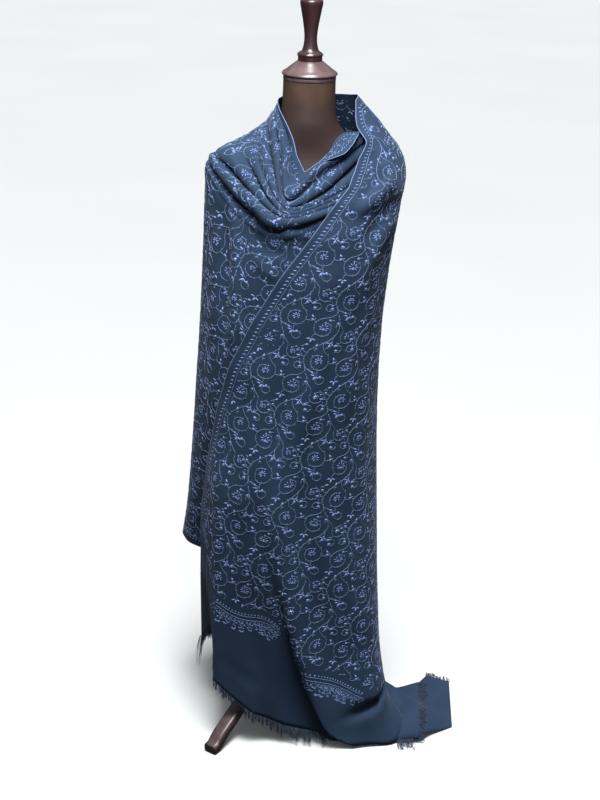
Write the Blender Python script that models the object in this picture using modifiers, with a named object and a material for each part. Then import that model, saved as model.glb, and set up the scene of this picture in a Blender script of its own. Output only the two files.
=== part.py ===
"""A fringed shawl draped on a limbless dress form with a wooden tripod stand.

Metres, +Z up, the form faces -Y. The cloth is one long wall that winds round the form:
it starts under the front panel, crosses the chest as a cowl, goes round the back and comes
over the shoulder again as the front panel, whose end lies on the floor.
"""

import math

import bmesh
import bpy
import numpy as np

# ---------------------------------------------------------------- driving dimensions
CLOTH = 0.002            # thickness of the cloth wall
SEAM = 0.0009            # gap where two stretches of the cloth meet
REST = 0.0003            # gap where one solid rests on another
POLE_X, POLE_Y = -0.0618, -0.0189   # the pole's place, measured from the middle of the whole part

POLE_RADIUS = 0.016
HUB_TOP = 0.275
LEG_WIDTH = 0.033
LEG_AZIMUTHS = (235.6, 335.0, 106.0)     # degrees from +X: front left, front right, behind

AROUND_CHEST = (1, 4, 3, 4, 3)           # steps between the knots of a row, stretch by stretch
AROUND_BACK = (3, 4, 4, 3)
AROUND_PANEL = (4, 6, 6, 4, 3)

# Turned profiles, top to bottom: radius, height.
FINIAL_PROFILE = (
    (0.0, 1.5960), (0.0120, 1.5945), (0.0200, 1.5910), (0.0228, 1.5860), (0.0210, 1.5750),
    (0.0172, 1.5550), (0.0140, 1.5350), (0.0127, 1.5180), (0.0138, 1.5030), (0.0170, 1.4930),
    (0.0240, 1.4880), (0.0257, 1.4850), (0.0245, 1.4820), (0.0245, 1.4780), (0.0257, 1.4750),
    (0.0250, 1.4740), (0.0, 1.4740),
)
CAP_PROFILE = (
    (0.0, 1.4737), (0.0262, 1.4737), (0.0275, 1.4722), (0.0400, 1.4625), (0.0545, 1.4515),
    (0.0560, 1.4490), (0.0555, 1.4465), (0.0535, 1.4450), (0.0535, 1.4420), (0.0545, 1.4400),
    (0.0535, 1.4368), (0.0, 1.4368),
)
HUB_PROFILE = (
    (0.0, 0.2750), (0.0230, 0.2750), (0.0290, 0.2710), (0.0290, 0.2620), (0.0265, 0.2590),
    (0.0290, 0.2560), (0.0290, 0.1900), (0.0265, 0.1870), (0.0290, 0.1840), (0.0290, 0.1770),
    (0.0200, 0.1690), (0.0, 0.1650),
)
PLATE_PROFILE = (
    (0.0, 0.6397), (0.096, 0.6397), (0.100, 0.6370), (0.100, 0.6300), (0.094, 0.6250),
    (0.030, 0.6230), (0.0, 0.6230),
)

# The covered form: height, half width, depth in front, depth behind, squareness.
FORM_SECTIONS = (
    (1.4365, 0.0525, 0.0525, 0.0525, 2.0),
    (1.4050, 0.0530, 0.0535, 0.0535, 2.0),
    (1.3800, 0.0545, 0.0550, 0.0565, 2.0),
    (1.3550, 0.0605, 0.0580, 0.0630, 2.0),
    (1.3300, 0.0775, 0.0570, 0.0690, 2.0),
    (1.3130, 0.1040, 0.0560, 0.0740, 2.0),
    (1.2960, 0.1360, 0.0570, 0.0790, 2.0),
    (1.2780, 0.1660, 0.0610, 0.0850, 2.0),
    (1.2550, 0.1780, 0.0680, 0.0920, 2.1),
    (1.2200, 0.1800, 0.0820, 0.1000, 2.2),
    (1.1700, 0.1700, 0.1000, 0.1040, 2.3),
    (1.1200, 0.1580, 0.1120, 0.1010, 2.3),
    (1.0600, 0.1430, 0.1090, 0.0930, 2.2),
    (0.9900, 0.1250, 0.0940, 0.0840, 2.1),
    (0.9300, 0.1210, 0.0900, 0.0820, 2.1),
    (0.8500, 0.1390, 0.0990, 0.0960, 2.1),
    (0.7600, 0.1520, 0.1060, 0.1160, 2.1),
    (0.6900, 0.1500, 0.1040, 0.1160, 2.1),
    (0.6400, 0.1450, 0.1000, 0.1100, 2.1),
)

# Leg centre line: reach from the pole's axis, height, thickness.
LEG_STATIONS = (
    (0.0293, 0.2250, 0.0420), (0.0500, 0.2190, 0.0380), (0.0800, 0.1930, 0.0320),
    (0.1150, 0.1500, 0.0290), (0.1500, 0.1110, 0.0270), (0.1850, 0.0800, 0.0260),
    (0.2150, 0.0610, 0.0250), (0.2450, 0.0450, 0.0250), (0.2700, 0.0320, 0.0250),
    (0.2860, 0.0210, 0.0250), (0.2970, 0.0115, 0.0250), (0.3130, 0.0105, 0.0220),
)

# The two lines on the cloth where a stretch ends: height and distance from the middle.
RIGHT_SIDE = (
    (1.4040, 0.0975), (1.3870, 0.1130), (1.3580, 0.1426), (1.3065, 0.1858), (1.2780, 0.1996),
    (1.2490, 0.2032), (1.1930, 0.1940), (1.1260, 0.1852), (1.0635, 0.1780), (1.0000, 0.1728),
    (0.9325, 0.1676), (0.8460, 0.1668), (0.7500, 0.1675), (0.6550, 0.1703), (0.4500, 0.1800),
    (0.2500, 0.1865), (0.0830, 0.1905), (0.0200, 0.1970),
)

# The rows of the chest stretch. Each knot is (x, y, z); the last gives x and z on the side
# line. The troughs say how far the cloth sinks between this row and the next one, at the
# rise, at the lowest point and at the fall (a negative trough is a ridge).
CHEST_ROWS = (
    # name, end, rise, slope, low, fall, side, trough at rise, low, fall
    ("neck edge", (0.108, -0.046, 1.3445), (0.066, -0.0625, 1.340), (0.0385, -0.0935, 1.305),
     (-0.004, -0.100, 1.272), (-0.030, -0.064, 1.338), (-0.0600, 1.388), 0.003, 0.002, 0.002),
    ("fold 1", (0.112, -0.045, 1.332), (0.072, -0.090, 1.313), (0.030, -0.112, 1.293),
     (-0.036, -0.130, 1.228), (-0.047, -0.074, 1.307), (-0.0640, 1.375), 0.000, 0.006, 0.006),
    ("fold 2", (0.116, -0.055, 1.312), (0.078, -0.096, 1.291), (0.035, -0.131, 1.254),
     (-0.034, -0.1385, 1.214), (-0.063, -0.072, 1.303), (-0.0740, 1.360), 0.012, 0.003, 0.009),
    ("fold 3", (0.112, -0.075, 1.288), (0.084, -0.108, 1.259), (0.042, -0.134, 1.233),
     (-0.028, -0.1440, 1.208), (-0.084, -0.076, 1.285), (-0.0930, 1.334), 0.009, 0.003, 0.010),
    ("fold 4", (0.108, -0.088, 1.262), (0.080, -0.118, 1.240), (0.036, -0.138, 1.222),
     (-0.030, -0.1475, 1.2015), (-0.098, -0.076, 1.274), (-0.1130, 1.314), 0.004, 0.002, 0.006),
    ("fold 5", (0.100, -0.102, 1.244), (0.072, -0.126, 1.228), (0.030, -0.143, 1.212),
     (-0.030, -0.1500, 1.1950), (-0.120, -0.086, 1.250), (-0.1830, 1.287), 0.004, 0.004, 0.010),
    ("fold 6", (0.090, -0.114, 1.226), (0.060, -0.134, 1.214), (0.020, -0.149, 1.201),
     (-0.034, -0.1515, 1.188), (-0.128, -0.100, 1.219), (-0.1980, 1.278), 0.010, 0.012, 0.012),
    ("fold 7", (0.070, -0.132, 1.198), (0.036, -0.145, 1.180), (0.000, -0.151, 1.161),
     (-0.052, -0.143, 1.146), (-0.140, -0.092, 1.183), (-0.2060, 1.260), 0.000, 0.000, 0.000),
    ("bust", (0.030, -0.150, 1.120), (-0.004, -0.153, 1.105), (-0.036, -0.152, 1.098),
     (-0.084, -0.143, 1.092), (-0.160, -0.090, 1.115), (-0.2090, 1.180), 0.000, 0.000, 0.000),
    ("under bust", (-0.010, -0.155, 1.045), (-0.036, -0.154, 1.035), (-0.062, -0.151, 1.032),
     (-0.105, -0.140, 1.030), (-0.175, -0.088, 1.045), (-0.2115, 1.090), 0.000, 0.000, 0.000),
    ("waist", (-0.050, -0.155, 0.955), (-0.076, -0.152, 0.952), (-0.100, -0.148, 0.950),
     (-0.136, -0.133, 0.952), (-0.190, -0.078, 0.965), (-0.2150, 0.990), 0.000, 0.000, 0.000),
    ("high hip", (-0.085, -0.150, 0.870), (-0.112, -0.144, 0.870), (-0.134, -0.136, 0.870),
     (-0.162, -0.119, 0.872), (-0.203, -0.064, 0.882), (-0.2195, 0.900), 0.000, 0.000, 0.000),
    ("hip", (-0.105, -0.145, 0.780), (-0.132, -0.136, 0.780), (-0.153, -0.126, 0.780),
     (-0.178, -0.108, 0.782), (-0.212, -0.058, 0.790), (-0.2255, 0.800), 0.000, 0.000, 0.000),
    ("thigh", (-0.118, -0.136, 0.690), (-0.146, -0.124, 0.690), (-0.168, -0.112, 0.690),
     (-0.190, -0.095, 0.691), (-0.220, -0.050, 0.695), (-0.2310, 0.700), 0.000, 0.000, 0.000),
    ("low thigh", (-0.124, -0.126, 0.595), (-0.154, -0.112, 0.595), (-0.178, -0.098, 0.595),
     (-0.200, -0.080, 0.596), (-0.229, -0.042, 0.598), (-0.2375, 0.600), 0.000, 0.000, 0.000),
    ("knee", (-0.126, -0.112, 0.500), (-0.158, -0.098, 0.500), (-0.184, -0.084, 0.500),
     (-0.208, -0.066, 0.500), (-0.237, -0.034, 0.500), (-0.2450, 0.500), 0.000, 0.000, 0.000),
    ("hem", (-0.126, -0.090, 0.402), (-0.160, -0.078, 0.402), (-0.188, -0.065, 0.402),
     (-0.214, -0.048, 0.402), (-0.243, -0.024, 0.403), (-0.2547, 0.405), 0.000, 0.000, 0.000),
)

# The rows of the front panel, beside the chest rows: the height on the right side line, then
# (x, y, z) of the leading edge, and (x, y) of the turn, ridge, middle and corner knots.
PANEL_ROWS = (
    # side z, leading edge, turn, ridge, middle, corner
    (1.4040, (0.0940, -0.008, 1.4000), (0.0948, -0.0065), (0.0955, -0.0050),
     (0.0963, -0.0035), (0.0970, -0.0018)),
    (1.3880, (0.0945, -0.032, 1.3700), (0.0985, -0.0270), (0.1020, -0.0210),
     (0.1060, -0.0145), (0.1095, -0.0075)),
    (1.3680, (0.0980, -0.052, 1.3470), (0.1050, -0.0440), (0.1120, -0.0350),
     (0.1190, -0.0250), (0.1260, -0.0130)),
    (1.3450, (0.1060, -0.074, 1.3300), (0.1160, -0.0620), (0.1260, -0.0500),
     (0.1370, -0.0360), (0.1470, -0.0190)),
    (1.3220, (0.1040, -0.094, 1.3080), (0.1200, -0.0810), (0.1350, -0.0650),
     (0.1500, -0.0470), (0.1630, -0.0260)),
    (1.2980, (0.0950, -0.114, 1.2810), (0.1180, -0.1000), (0.1400, -0.0820),
     (0.1600, -0.0600), (0.1780, -0.0330)),
    (1.2720, (0.0820, -0.136, 1.2500), (0.1110, -0.1220), (0.1390, -0.1020),
     (0.1650, -0.0760), (0.1870, -0.0430)),
    (1.2420, (0.0580, -0.152, 1.2210), (0.0970, -0.1420), (0.1330, -0.1230),
     (0.1660, -0.0930), (0.1910, -0.0530)),
    (1.1700, (0.0103, -0.167, 1.1530), (0.0600, -0.1650), (0.1070, -0.1520),
     (0.1500, -0.1200), (0.1800, -0.0700)),
    (1.0700, (-0.0480, -0.169, 1.0700), (0.0100, -0.1750), (0.0680, -0.1720),
     (0.1200, -0.1500), (0.1600, -0.0930)),
    (0.9550, (-0.1000, -0.162, 0.9780), (-0.0480, -0.1740), (0.0120, -0.1780),
     (0.0880, -0.1640), (0.1450, -0.1050)),
    (0.8300, (-0.1480, -0.146, 0.8720), (-0.1080, -0.1690), (-0.0450, -0.1790),
     (0.0650, -0.1740), (0.1420, -0.1150)),
    (0.6900, (-0.1715, -0.131, 0.7800), (-0.1520, -0.1550), (-0.1150, -0.1740),
     (0.0450, -0.1800), (0.1420, -0.1250)),
    (0.5400, (-0.1930, -0.112, 0.6500), (-0.1850, -0.1420), (-0.1705, -0.1740),
     (0.0400, -0.1880), (0.1460, -0.1370)),
    (0.3700, (-0.2095, -0.083, 0.5100), (-0.1960, -0.1300), (-0.1715, -0.1850),
     (0.0450, -0.1950), (0.1560, -0.1500)),
    (0.1900, (-0.2132, -0.045, 0.3300), (-0.1990, -0.1100), (-0.1710, -0.1950),
     (0.0600, -0.2000), (0.1750, -0.1650)),
    (0.0200, (-0.2135, -0.010, 0.1470), (-0.1785, -0.1100), (-0.1715, -0.2000),
     (0.0500, -0.2080), (0.2050, -0.2000)),
)
# How far the hem departs from a straight line between its two ends, knot by knot, from the
# leading edge to the side line, and the row where the hem's own shape begins.
HEM_LIFT = (0.0, 0.0960, 0.0420, -0.0430, -0.0380, 0.0)
HEM_STARTS = 14

# The back of the wrap: height, reach to the left and right corners, depth of the corners,
# depth in the middle.
SHOULDER_DROP = 0.022    # how far the cloth falls from the shoulder line to the back
BACK_SECTIONS = (
    (1.4000, 0.052, 0.080, 0.055, 0.070),
    (1.3800, 0.060, 0.092, 0.058, 0.078),
    (1.3500, 0.082, 0.110, 0.064, 0.088),
    (1.3200, 0.110, 0.132, 0.070, 0.098),
    (1.2900, 0.140, 0.152, 0.078, 0.108),
    (1.2500, 0.166, 0.166, 0.086, 0.118),
    (1.1800, 0.168, 0.160, 0.098, 0.128),
    (1.0500, 0.162, 0.144, 0.108, 0.132),
    (0.9000, 0.164, 0.132, 0.116, 0.136),
    (0.7000, 0.174, 0.134, 0.126, 0.144),
    (0.4500, 0.190, 0.150, 0.136, 0.156),
    (0.2000, 0.200, 0.164, 0.142, 0.166),
    (0.0000, 0.205, 0.170, 0.146, 0.172),
)

# Folds that hang down the front panel: for five rows from the thigh to the hem, where the
# fold lies across the front, how far it stands out, and how far it leans over to the left.
FOLD_ROWS = (12, 13, 14, 15, 16)
FRONT_FOLDS = (
    # name, width, places, heights, leans
    ("over-fold", 0.050, (-0.070, -0.050, -0.022, 0.022, 0.092),
     (0.003, 0.009, 0.014, 0.022, 0.016), (0.000, 0.004, 0.010, 0.026, 0.020)),
    ("valley", 0.045, (-0.115, -0.110, -0.106, -0.092, -0.055),
     (0.000, -0.005, -0.010, -0.013, -0.008), (0.0, 0.0, 0.0, 0.0, 0.0)),
    ("right ridge", 0.045, (0.060, 0.065, 0.075, 0.100, 0.140),
     (0.004, 0.006, 0.006, 0.004, 0.000), (0.0, 0.0, 0.0, 0.0, 0.0)),
)
# Flutes of the hem behind: place round the back from side to side, width, depth at the hem.
BACK_FLUTES = (
    (0.16, 0.080, 0.018), (0.34, 0.080, 0.024), (0.54, 0.090, 0.020), (0.74, 0.080, 0.022),
)
# The pocket between the end border and the roll on the floor at the right of the front.
# How the cloth lies over the front right leg: distance above it and beside it.
LEG_COVER, LEG_SIDE, LEG_COVER_REACH = 0.0075, 0.006, 0.080
POCKET_HEIGHT, POCKET_WIDTH, POCKET_DEPTH = 0.062, 0.026, 0.034
POCKET_FROM, POCKET_TO = 0.085, 0.150


# ---------------------------------------------------------------- materials and objects
def material(name, colour, roughness, metallic=0.0):
    made = bpy.data.materials.new(name)
    made.use_nodes = True
    shader = made.node_tree.nodes["Principled BSDF"]
    shader.inputs["Base Color"].default_value = (*colour, 1.0)
    shader.inputs["Roughness"].default_value = roughness
    shader.inputs["Metallic"].default_value = metallic
    return made


def new_object(name, vertices, faces, finish):
    """A mesh object of the part, smooth but for its sharp edges."""
    mesh = bpy.data.meshes.new(name)
    mesh.from_pydata([tuple(map(float, point)) for point in vertices], [], faces)
    work = bmesh.new()
    work.from_mesh(mesh)
    bmesh.ops.recalc_face_normals(work, faces=work.faces)
    work.to_mesh(mesh)
    work.free()
    mesh.shade_smooth()
    made = bpy.data.objects.new(name, mesh)
    made.data.materials.append(finish)
    COLLECTION.objects.link(made)
    made.location = (POLE_X, POLE_Y, 0.0)
    return made


def add_wall(piece, thickness):
    wall = piece.modifiers.new("wall", "SOLIDIFY")
    wall.thickness = thickness
    wall.offset = 0.0
    wall.use_rim = True
    return wall


# ---------------------------------------------------------------- curves and grids
def smooth_curve(knots, steps):
    """Points along a smooth curve through the knots, steps[i] of them from knot i to i + 1."""
    knots = np.asarray(knots, float)
    chords = np.maximum(np.linalg.norm(np.diff(knots, axis=0), axis=1), 1e-9)
    slopes = np.diff(knots, axis=0) / chords[:, None]
    tangents = np.empty_like(knots)
    tangents[0], tangents[-1] = slopes[0], slopes[-1]
    before, after = chords[:-1, None], chords[1:, None]
    tangents[1:-1] = (slopes[:-1] * after + slopes[1:] * before) / (before + after)
    points = []
    for i, count in enumerate(steps):
        for t in np.arange(count) / count:
            a, b = 2 * t**3 - 3 * t**2 + 1, t**3 - 2 * t**2 + t
            c, d = -2 * t**3 + 3 * t**2, t**3 - t**2
            points.append(a * knots[i] + b * chords[i] * tangents[i]
                          + c * knots[i + 1] + d * chords[i] * tangents[i + 1])
    points.append(knots[-1])
    return np.array(points)


def bump(distance, width):
    """A soft hump of height 1 in the middle that ends at the given distance."""
    reach = np.clip(np.abs(distance) / width, 0.0, 1.0)
    return (1.0 - reach**2) ** 2


def ramp(value, start, end):
    t = np.clip((value - start) / (end - start), 0.0, 1.0)
    return t * t * (3.0 - 2.0 * t)


def table_column(table, key, column):
    """A column of a table read at a height, between its rows."""
    heights = [row[0] for row in table][::-1]
    values = [row[column] for row in table][::-1]
    return float(np.interp(key, heights, values))


# ---------------------------------------------------------------- the winding cloth
def trough_row(row, following):
    """The knots of the row between two rows of the chest, sunk by the row's troughs."""
    middle = 0.5 * (row["knots"] + following["knots"])
    rise, low, fall = row["troughs"]
    for knot, depth in enumerate((0.2 * rise, rise, 0.5 * (rise + low), low, fall, 0.0)):
        inwards = -middle[knot] * (1.0, 1.0, 0.0)
        middle[knot] += inwards / np.linalg.norm(inwards) * depth
    return middle


def chest_knots():
    rows = []
    for name, end, rise, slope, low, fall, side, *troughs in CHEST_ROWS:
        knots = np.array([end, rise, slope, low, fall, (side[0], 0.0, side[1])])
        rows.append({"name": name, "knots": knots, "troughs": troughs})
    knots = []
    for row, following in zip(rows, rows[1:]):
        knots += [row["knots"], trough_row(row, following)]
    return np.array(knots + [rows[-1]["knots"]])


def panel_knots():
    rows = []
    share = np.array((0.0, 0.15, 0.30, 0.62, 0.85, 1.0))
    for number, (side_z, edge, *plan) in enumerate(PANEL_ROWS):
        side = (table_column(RIGHT_SIDE, side_z, 1), 0.0)
        places = np.array([edge[:2], *plan, side])
        weight = ramp(number, HEM_STARTS, len(PANEL_ROWS) - 1)
        heights = edge[2] + (side_z - edge[2]) * share + weight * np.array(HEM_LIFT)
        rows.append(np.column_stack((places, heights)))
    knots = []
    for row, following in zip(rows, rows[1:]):
        knots += [row, 0.5 * (row + following)]
    knots = np.array(knots + [rows[-1]])
    heights = [row[0] for row in RIGHT_SIDE][::-1]
    reach = [row[1] for row in RIGHT_SIDE][::-1]
    knots[:, 5, 0] = np.interp(knots[:, 5, 2], heights, reach)
    return knots


def back_knots(left, right):
    """Three knots round the back between the side points of a row."""
    drop = SHOULDER_DROP * ramp(1.385, left[2], 1.330) * ramp(left[2], 0.400, 1.000)
    z_left = 0.75 * left[2] + 0.25 * right[2] - drop
    z_middle = 0.5 * (left[2] + right[2]) - drop
    z_right = 0.25 * left[2] + 0.75 * right[2] - drop
    corner_left = (-table_column(BACK_SECTIONS, z_left, 1),
                   table_column(BACK_SECTIONS, z_left, 3), z_left)
    middle = (0.5 * (left[0] + right[0]), table_column(BACK_SECTIONS, z_middle, 4), z_middle)
    corner_right = (table_column(BACK_SECTIONS, z_right, 2),
                    table_column(BACK_SECTIONS, z_right, 3), z_right)
    return np.array((corner_left, middle, corner_right))


def fold_front(grid, first):
    """Adds the hanging folds and the pocket to the panel's part of the grid."""
    rows = np.linspace(0.0, len(PANEL_ROWS) - 1, len(grid))
    for number, row in zip(rows, grid):
        panel = row[first:]
        on_front = ramp(-panel[:, 1], 0.02, 0.10)
        shift_x, shift_y = np.zeros(len(panel)), np.zeros(len(panel))
        for name, width, places, heights, leans in FRONT_FOLDS:
            lean = np.interp(number, FOLD_ROWS, leans)
            place = np.interp(number, FOLD_ROWS, places) + lean
            shape = bump(panel[:, 0] - place, width) * on_front
            shape *= ramp(number, FOLD_ROWS[0] - 2, FOLD_ROWS[0])
            shift_y -= shape * np.interp(number, FOLD_ROWS, heights)
            shift_x -= shape * lean
        pocket = bump(panel[:, 2] - POCKET_HEIGHT, POCKET_WIDTH) * on_front
        shift_y += POCKET_DEPTH * pocket * ramp(panel[:, 0], POCKET_FROM, POCKET_TO)
        panel[:, 0] += shift_x
        panel[:, 1] += shift_y


def flute_back(grid, first, last):
    rows = np.linspace(0.0, 1.0, len(grid))
    for level, row in zip(rows, grid):
        back = row[first:last + 1]
        place = np.linspace(0.0, 1.0, len(back))
        depth = sum(depth * bump(place - middle, width)
                    for middle, width, depth in BACK_FLUTES) * ramp(level, 0.45, 1.0)
        outwards = back[:, :2] / np.linalg.norm(back[:, :2], axis=1)[:, None]
        back[:, :2] += outwards * depth[:, None]


def leg_top(x, y):
    """Height that the cloth keeps over the front right leg at a place on the floor."""
    angle = math.radians(LEG_AZIMUTHS[1])
    along = x * math.cos(angle) + y * math.sin(angle)
    across = abs(-x * math.sin(angle) + y * math.cos(angle))
    reach = [station[0] for station in LEG_STATIONS]
    tops = [station[1] + 0.5 * station[2] for station in LEG_STATIONS]
    crest = np.interp(along, reach, tops) + LEG_COVER
    past_toe = max(along - reach[-1], 0.0)
    side = max(across - 0.5 * LEG_WIDTH - LEG_SIDE, 0.0)
    return crest * (1.0 - ramp(math.hypot(side, past_toe), 0.0, LEG_COVER_REACH))


def lift_over_leg(grid, first):
    """Lifts the last rows of the panel's side where the hem lies over a leg."""
    for column in range(first, first + AROUND_PANEL[0] + 1):
        hem = grid[-1, column]
        lift = max(leg_top(hem[0], hem[1]) - hem[2], 0.0)
        for back, share in enumerate((1.0, 0.75, 0.5, 0.3, 0.15)):
            grid[-1 - back, column, 2] += lift * share


def winding_cloth():
    """The whole winding as one grid of points, and the columns of its two side lines."""
    chest, panel = chest_knots(), panel_knots()
    grid = []
    for chest_row, panel_row in zip(chest, panel):
        back = back_knots(chest_row[-1], panel_row[-1])
        knots = np.vstack((chest_row, back, panel_row[::-1]))
        grid.append(smooth_curve(knots, AROUND_CHEST + AROUND_BACK + AROUND_PANEL))
    left = sum(AROUND_CHEST)
    right = left + sum(AROUND_BACK)
    grid = np.array(grid)
    fold_front(grid, right)
    flute_back(grid, left, right)
    lift_over_leg(grid, right)
    return grid, left, right


def cloth_object(name, grid):
    """An open surface over the grid, given its thickness by a modifier."""
    rows, columns = grid.shape[:2]
    faces = []
    for r in range(rows - 1):
        for c in range(columns - 1):
            a = r * columns + c
            faces.append((a, a + 1, a + columns + 1, a + columns))
    piece = new_object(name, grid.reshape(-1, 3), faces, FABRIC)
    add_wall(piece, CLOTH)
    return piece


def spaced(line, end):
    """The line with one end point drawn back by half the seam gap."""
    line = line.copy()
    inner = -2 if end == -1 else 1
    step = line[inner] - line[end]
    line[end] += step / np.linalg.norm(step) * SEAM / 2
    return line


def build_wrap():
    grid, left, right = winding_cloth()
    chest = np.array([spaced(row, -1) for row in grid[:, :left + 1]])
    back = np.array([spaced(spaced(row, 0), -1) for row in grid[:, left:right + 1]])
    panel = np.array([spaced(row, 0) for row in grid[:, right:]])
    cloth_object("shawl_chest_wrap", chest)
    cloth_object("shawl_back_wrap", back)
    cloth_object("shawl_front_panel", panel)
    return chest, panel


# The edge turned outwards at the neck: its free edge, from the low tip to the high end. It
# folds over along the neck edge of the chest stretch, just in front of it.
TURNED_FREE = ((0.0465, -0.1100, 1.3070), (0.0530, -0.1140, 1.3060), (0.0620, -0.1140, 1.3075),
               (0.0720, -0.1100, 1.3105), (0.0820, -0.1000, 1.3190), (0.0910, -0.0880, 1.3300))
TURNED_IN_FRONT = (0.0, -0.0022, 0.0021)
TURNED_BULGE = 0.007
TURNED_START = 0.35      # where the fold line begins between the neck edge's two columns
TURNED_END = 0.70        # how far the fold line runs on towards the hidden end


def build_turned_edge(chest):
    neck = chest[0]
    tip = neck[5] + (neck[4] - neck[5]) * TURNED_START
    last = neck[1] + (neck[0] - neck[1]) * TURNED_END
    fold_knots = np.array([tip, *neck[4:0:-1], last]) + TURNED_IN_FRONT
    fold = smooth_curve(fold_knots, (2,) * 5)
    free = smooth_curve(TURNED_FREE, (2,) * 5)
    swell = np.sin(np.linspace(0.0, math.pi, len(fold)))
    rows = []
    for share in np.linspace(0.0, 1.0, 4):
        row = fold + (free - fold) * share
        row[:, 1] -= TURNED_BULGE * math.sin(math.pi * share) * swell
        rows.append(row)
    return cloth_object("shawl_turned_edge", np.array(rows))


# ---------------------------------------------------------------- the end on the floor
# Stations of the two layers, from the panel's hem outwards. The upper layer takes the first
# ones, the lower layer the last.
STATIONS = (0.0, 0.10, 0.20, 0.30, 0.38, 0.44, 0.50, 0.56, 0.64, 0.73, 0.82, 0.91, 1.0)
UPPER_LAST, LOWER_FIRST = 7, 4
# The edges behind and in front: station, x, y.
EDGE_BEHIND = ((0.30, 0.2450, 0.0080), (0.56, 0.3045, 0.0400), (0.64, 0.3262, 0.0730),
               (1.00, 0.3800, 0.0500))
EDGE_IN_FRONT = ((0.30, 0.2420, -0.2010), (0.56, 0.2900, -0.1985), (0.73, 0.3180, -0.1700),
                 (1.00, 0.3710, -0.1340))
LAYER_GAP = 0.0032


def edge_places(edge, start):
    """The stations' places along one edge, which begins beside the panel's hem."""
    near = (start[0] + CLOTH + REST, start[1])
    known = (0.0, *(row[0] for row in edge))
    return np.array([np.interp(STATIONS, known, (near[axis], *(row[1 + axis] for row in edge)))
                     for axis in (0, 1)]).T


def floor_end(hem):
    """The end's places on the floor as rows from the back to the front, from the hem outwards."""
    behind, in_front = edge_places(EDGE_BEHIND, hem[0]), edge_places(EDGE_IN_FRONT, hem[-1])
    rows = []
    for share, start in zip(np.linspace(0.0, 1.0, len(hem)), hem):
        row = behind * (1.0 - share) + in_front * share
        near = np.array((start[0] + CLOTH + REST, start[1]))
        row += (near - row[0]) * (1.0 - ramp(np.array(STATIONS), 0.0, 0.5))[:, None]
        rows.append(row)
    return np.array(rows)


def floor_layer(places, hem, first, last, lift):
    grid = []
    for row, start in zip(places, hem):
        line = []
        for station in range(first, last + 1):
            x, y = row[station]
            fall = start[2] * (1.0 - ramp(STATIONS[station], 0.0, 0.40))
            height = max(fall, leg_top(x, y), 0.0)
            line.append((x, y, CLOTH / 2 + height + lift * ramp(station, 1.0, LOWER_FIRST - 1)))
        grid.append(line)
    return np.array(grid)


def build_floor_end(hem):
    places = floor_end(hem)
    upper = floor_layer(places, hem, 0, UPPER_LAST, LAYER_GAP)
    lower = floor_layer(places, hem, LOWER_FIRST, len(STATIONS) - 1, 0.0)
    cloth_object("shawl_tail_upper", upper)
    cloth_object("shawl_tail_lower", lower)
    return upper, lower


# ---------------------------------------------------------------- fringes
STRIP = 0.003            # depth of the strip that holds a fringe's strands
FRINGE_WALL = 0.0012
# name: strands, length, width at the root, how unevenly they lean
FRINGES = {
    "fringe_front_hem": (64, 0.017, 0.0030, 0.30),
    "fringe_turned_corner": (12, 0.030, 0.0030, 0.25),
    "fringe_floor_front": (12, 0.028, 0.0030, 0.30),
    "fringe_tail_end": (28, 0.016, 0.0030, 0.30),
    "fringe_tail_back": (12, 0.014, 0.0030, 0.30),
}


def wander(index, seed):
    """An uneven number between -1 and 1 that is the same each time."""
    return math.sin(index * 12.9898 + seed * 78.233) * math.cos(index * 4.1414 + seed * 3.7)


def comb(name, edge, hang, floor=0.0005):
    """Strands that hang from a narrow strip along an edge, as one wall."""
    strands, length, width, unevenness = FRINGES[name]
    edge, hang = np.asarray(edge, float), np.asarray(hang, float)
    lengths = np.concatenate(([0.0], np.cumsum(np.linalg.norm(np.diff(edge, axis=0), axis=1))))
    hang = hang / np.linalg.norm(hang, axis=1)[:, None]
    gap = REST

    def at(distance, values):
        return np.array([np.interp(distance, lengths, values[:, axis]) for axis in range(3)])

    pitch = lengths[-1] / strands
    width = min(width, 0.72 * pitch)
    vertices, faces = [], []
    previous = None
    for number in range(strands):
        middle = (number + 0.5) * pitch
        pair = []
        for place in (middle - width / 2, middle + width / 2):
            point, way = at(place, edge), at(place, hang)
            pair += [point + way * gap, point + way * (gap + STRIP)]
        first = len(vertices)
        vertices += pair
        faces.append((first, first + 1, first + 3, first + 2))
        if previous is not None:
            faces.append((previous + 2, previous + 3, first + 1, first))
        along = pair[3] - pair[1]
        way = at(middle, hang)
        lean = along / np.linalg.norm(along) * wander(number, 1.0)
        lean *= min(unevenness * length, 0.3 * pitch)
        reach = length * (0.75 + 0.25 * wander(number, 2.0))
        tip = 0.5 * (pair[1] + pair[3]) + way * reach + lean
        tip[2] = max(tip[2], floor + FRINGE_WALL / 2)
        vertices += [tip - along * 0.2, tip + along * 0.2]
        faces.append((first + 1, first + 4, first + 5, first + 3))
        previous = first
    piece = new_object(name, vertices, faces, FABRIC)
    add_wall(piece, FRINGE_WALL)
    return piece


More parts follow.
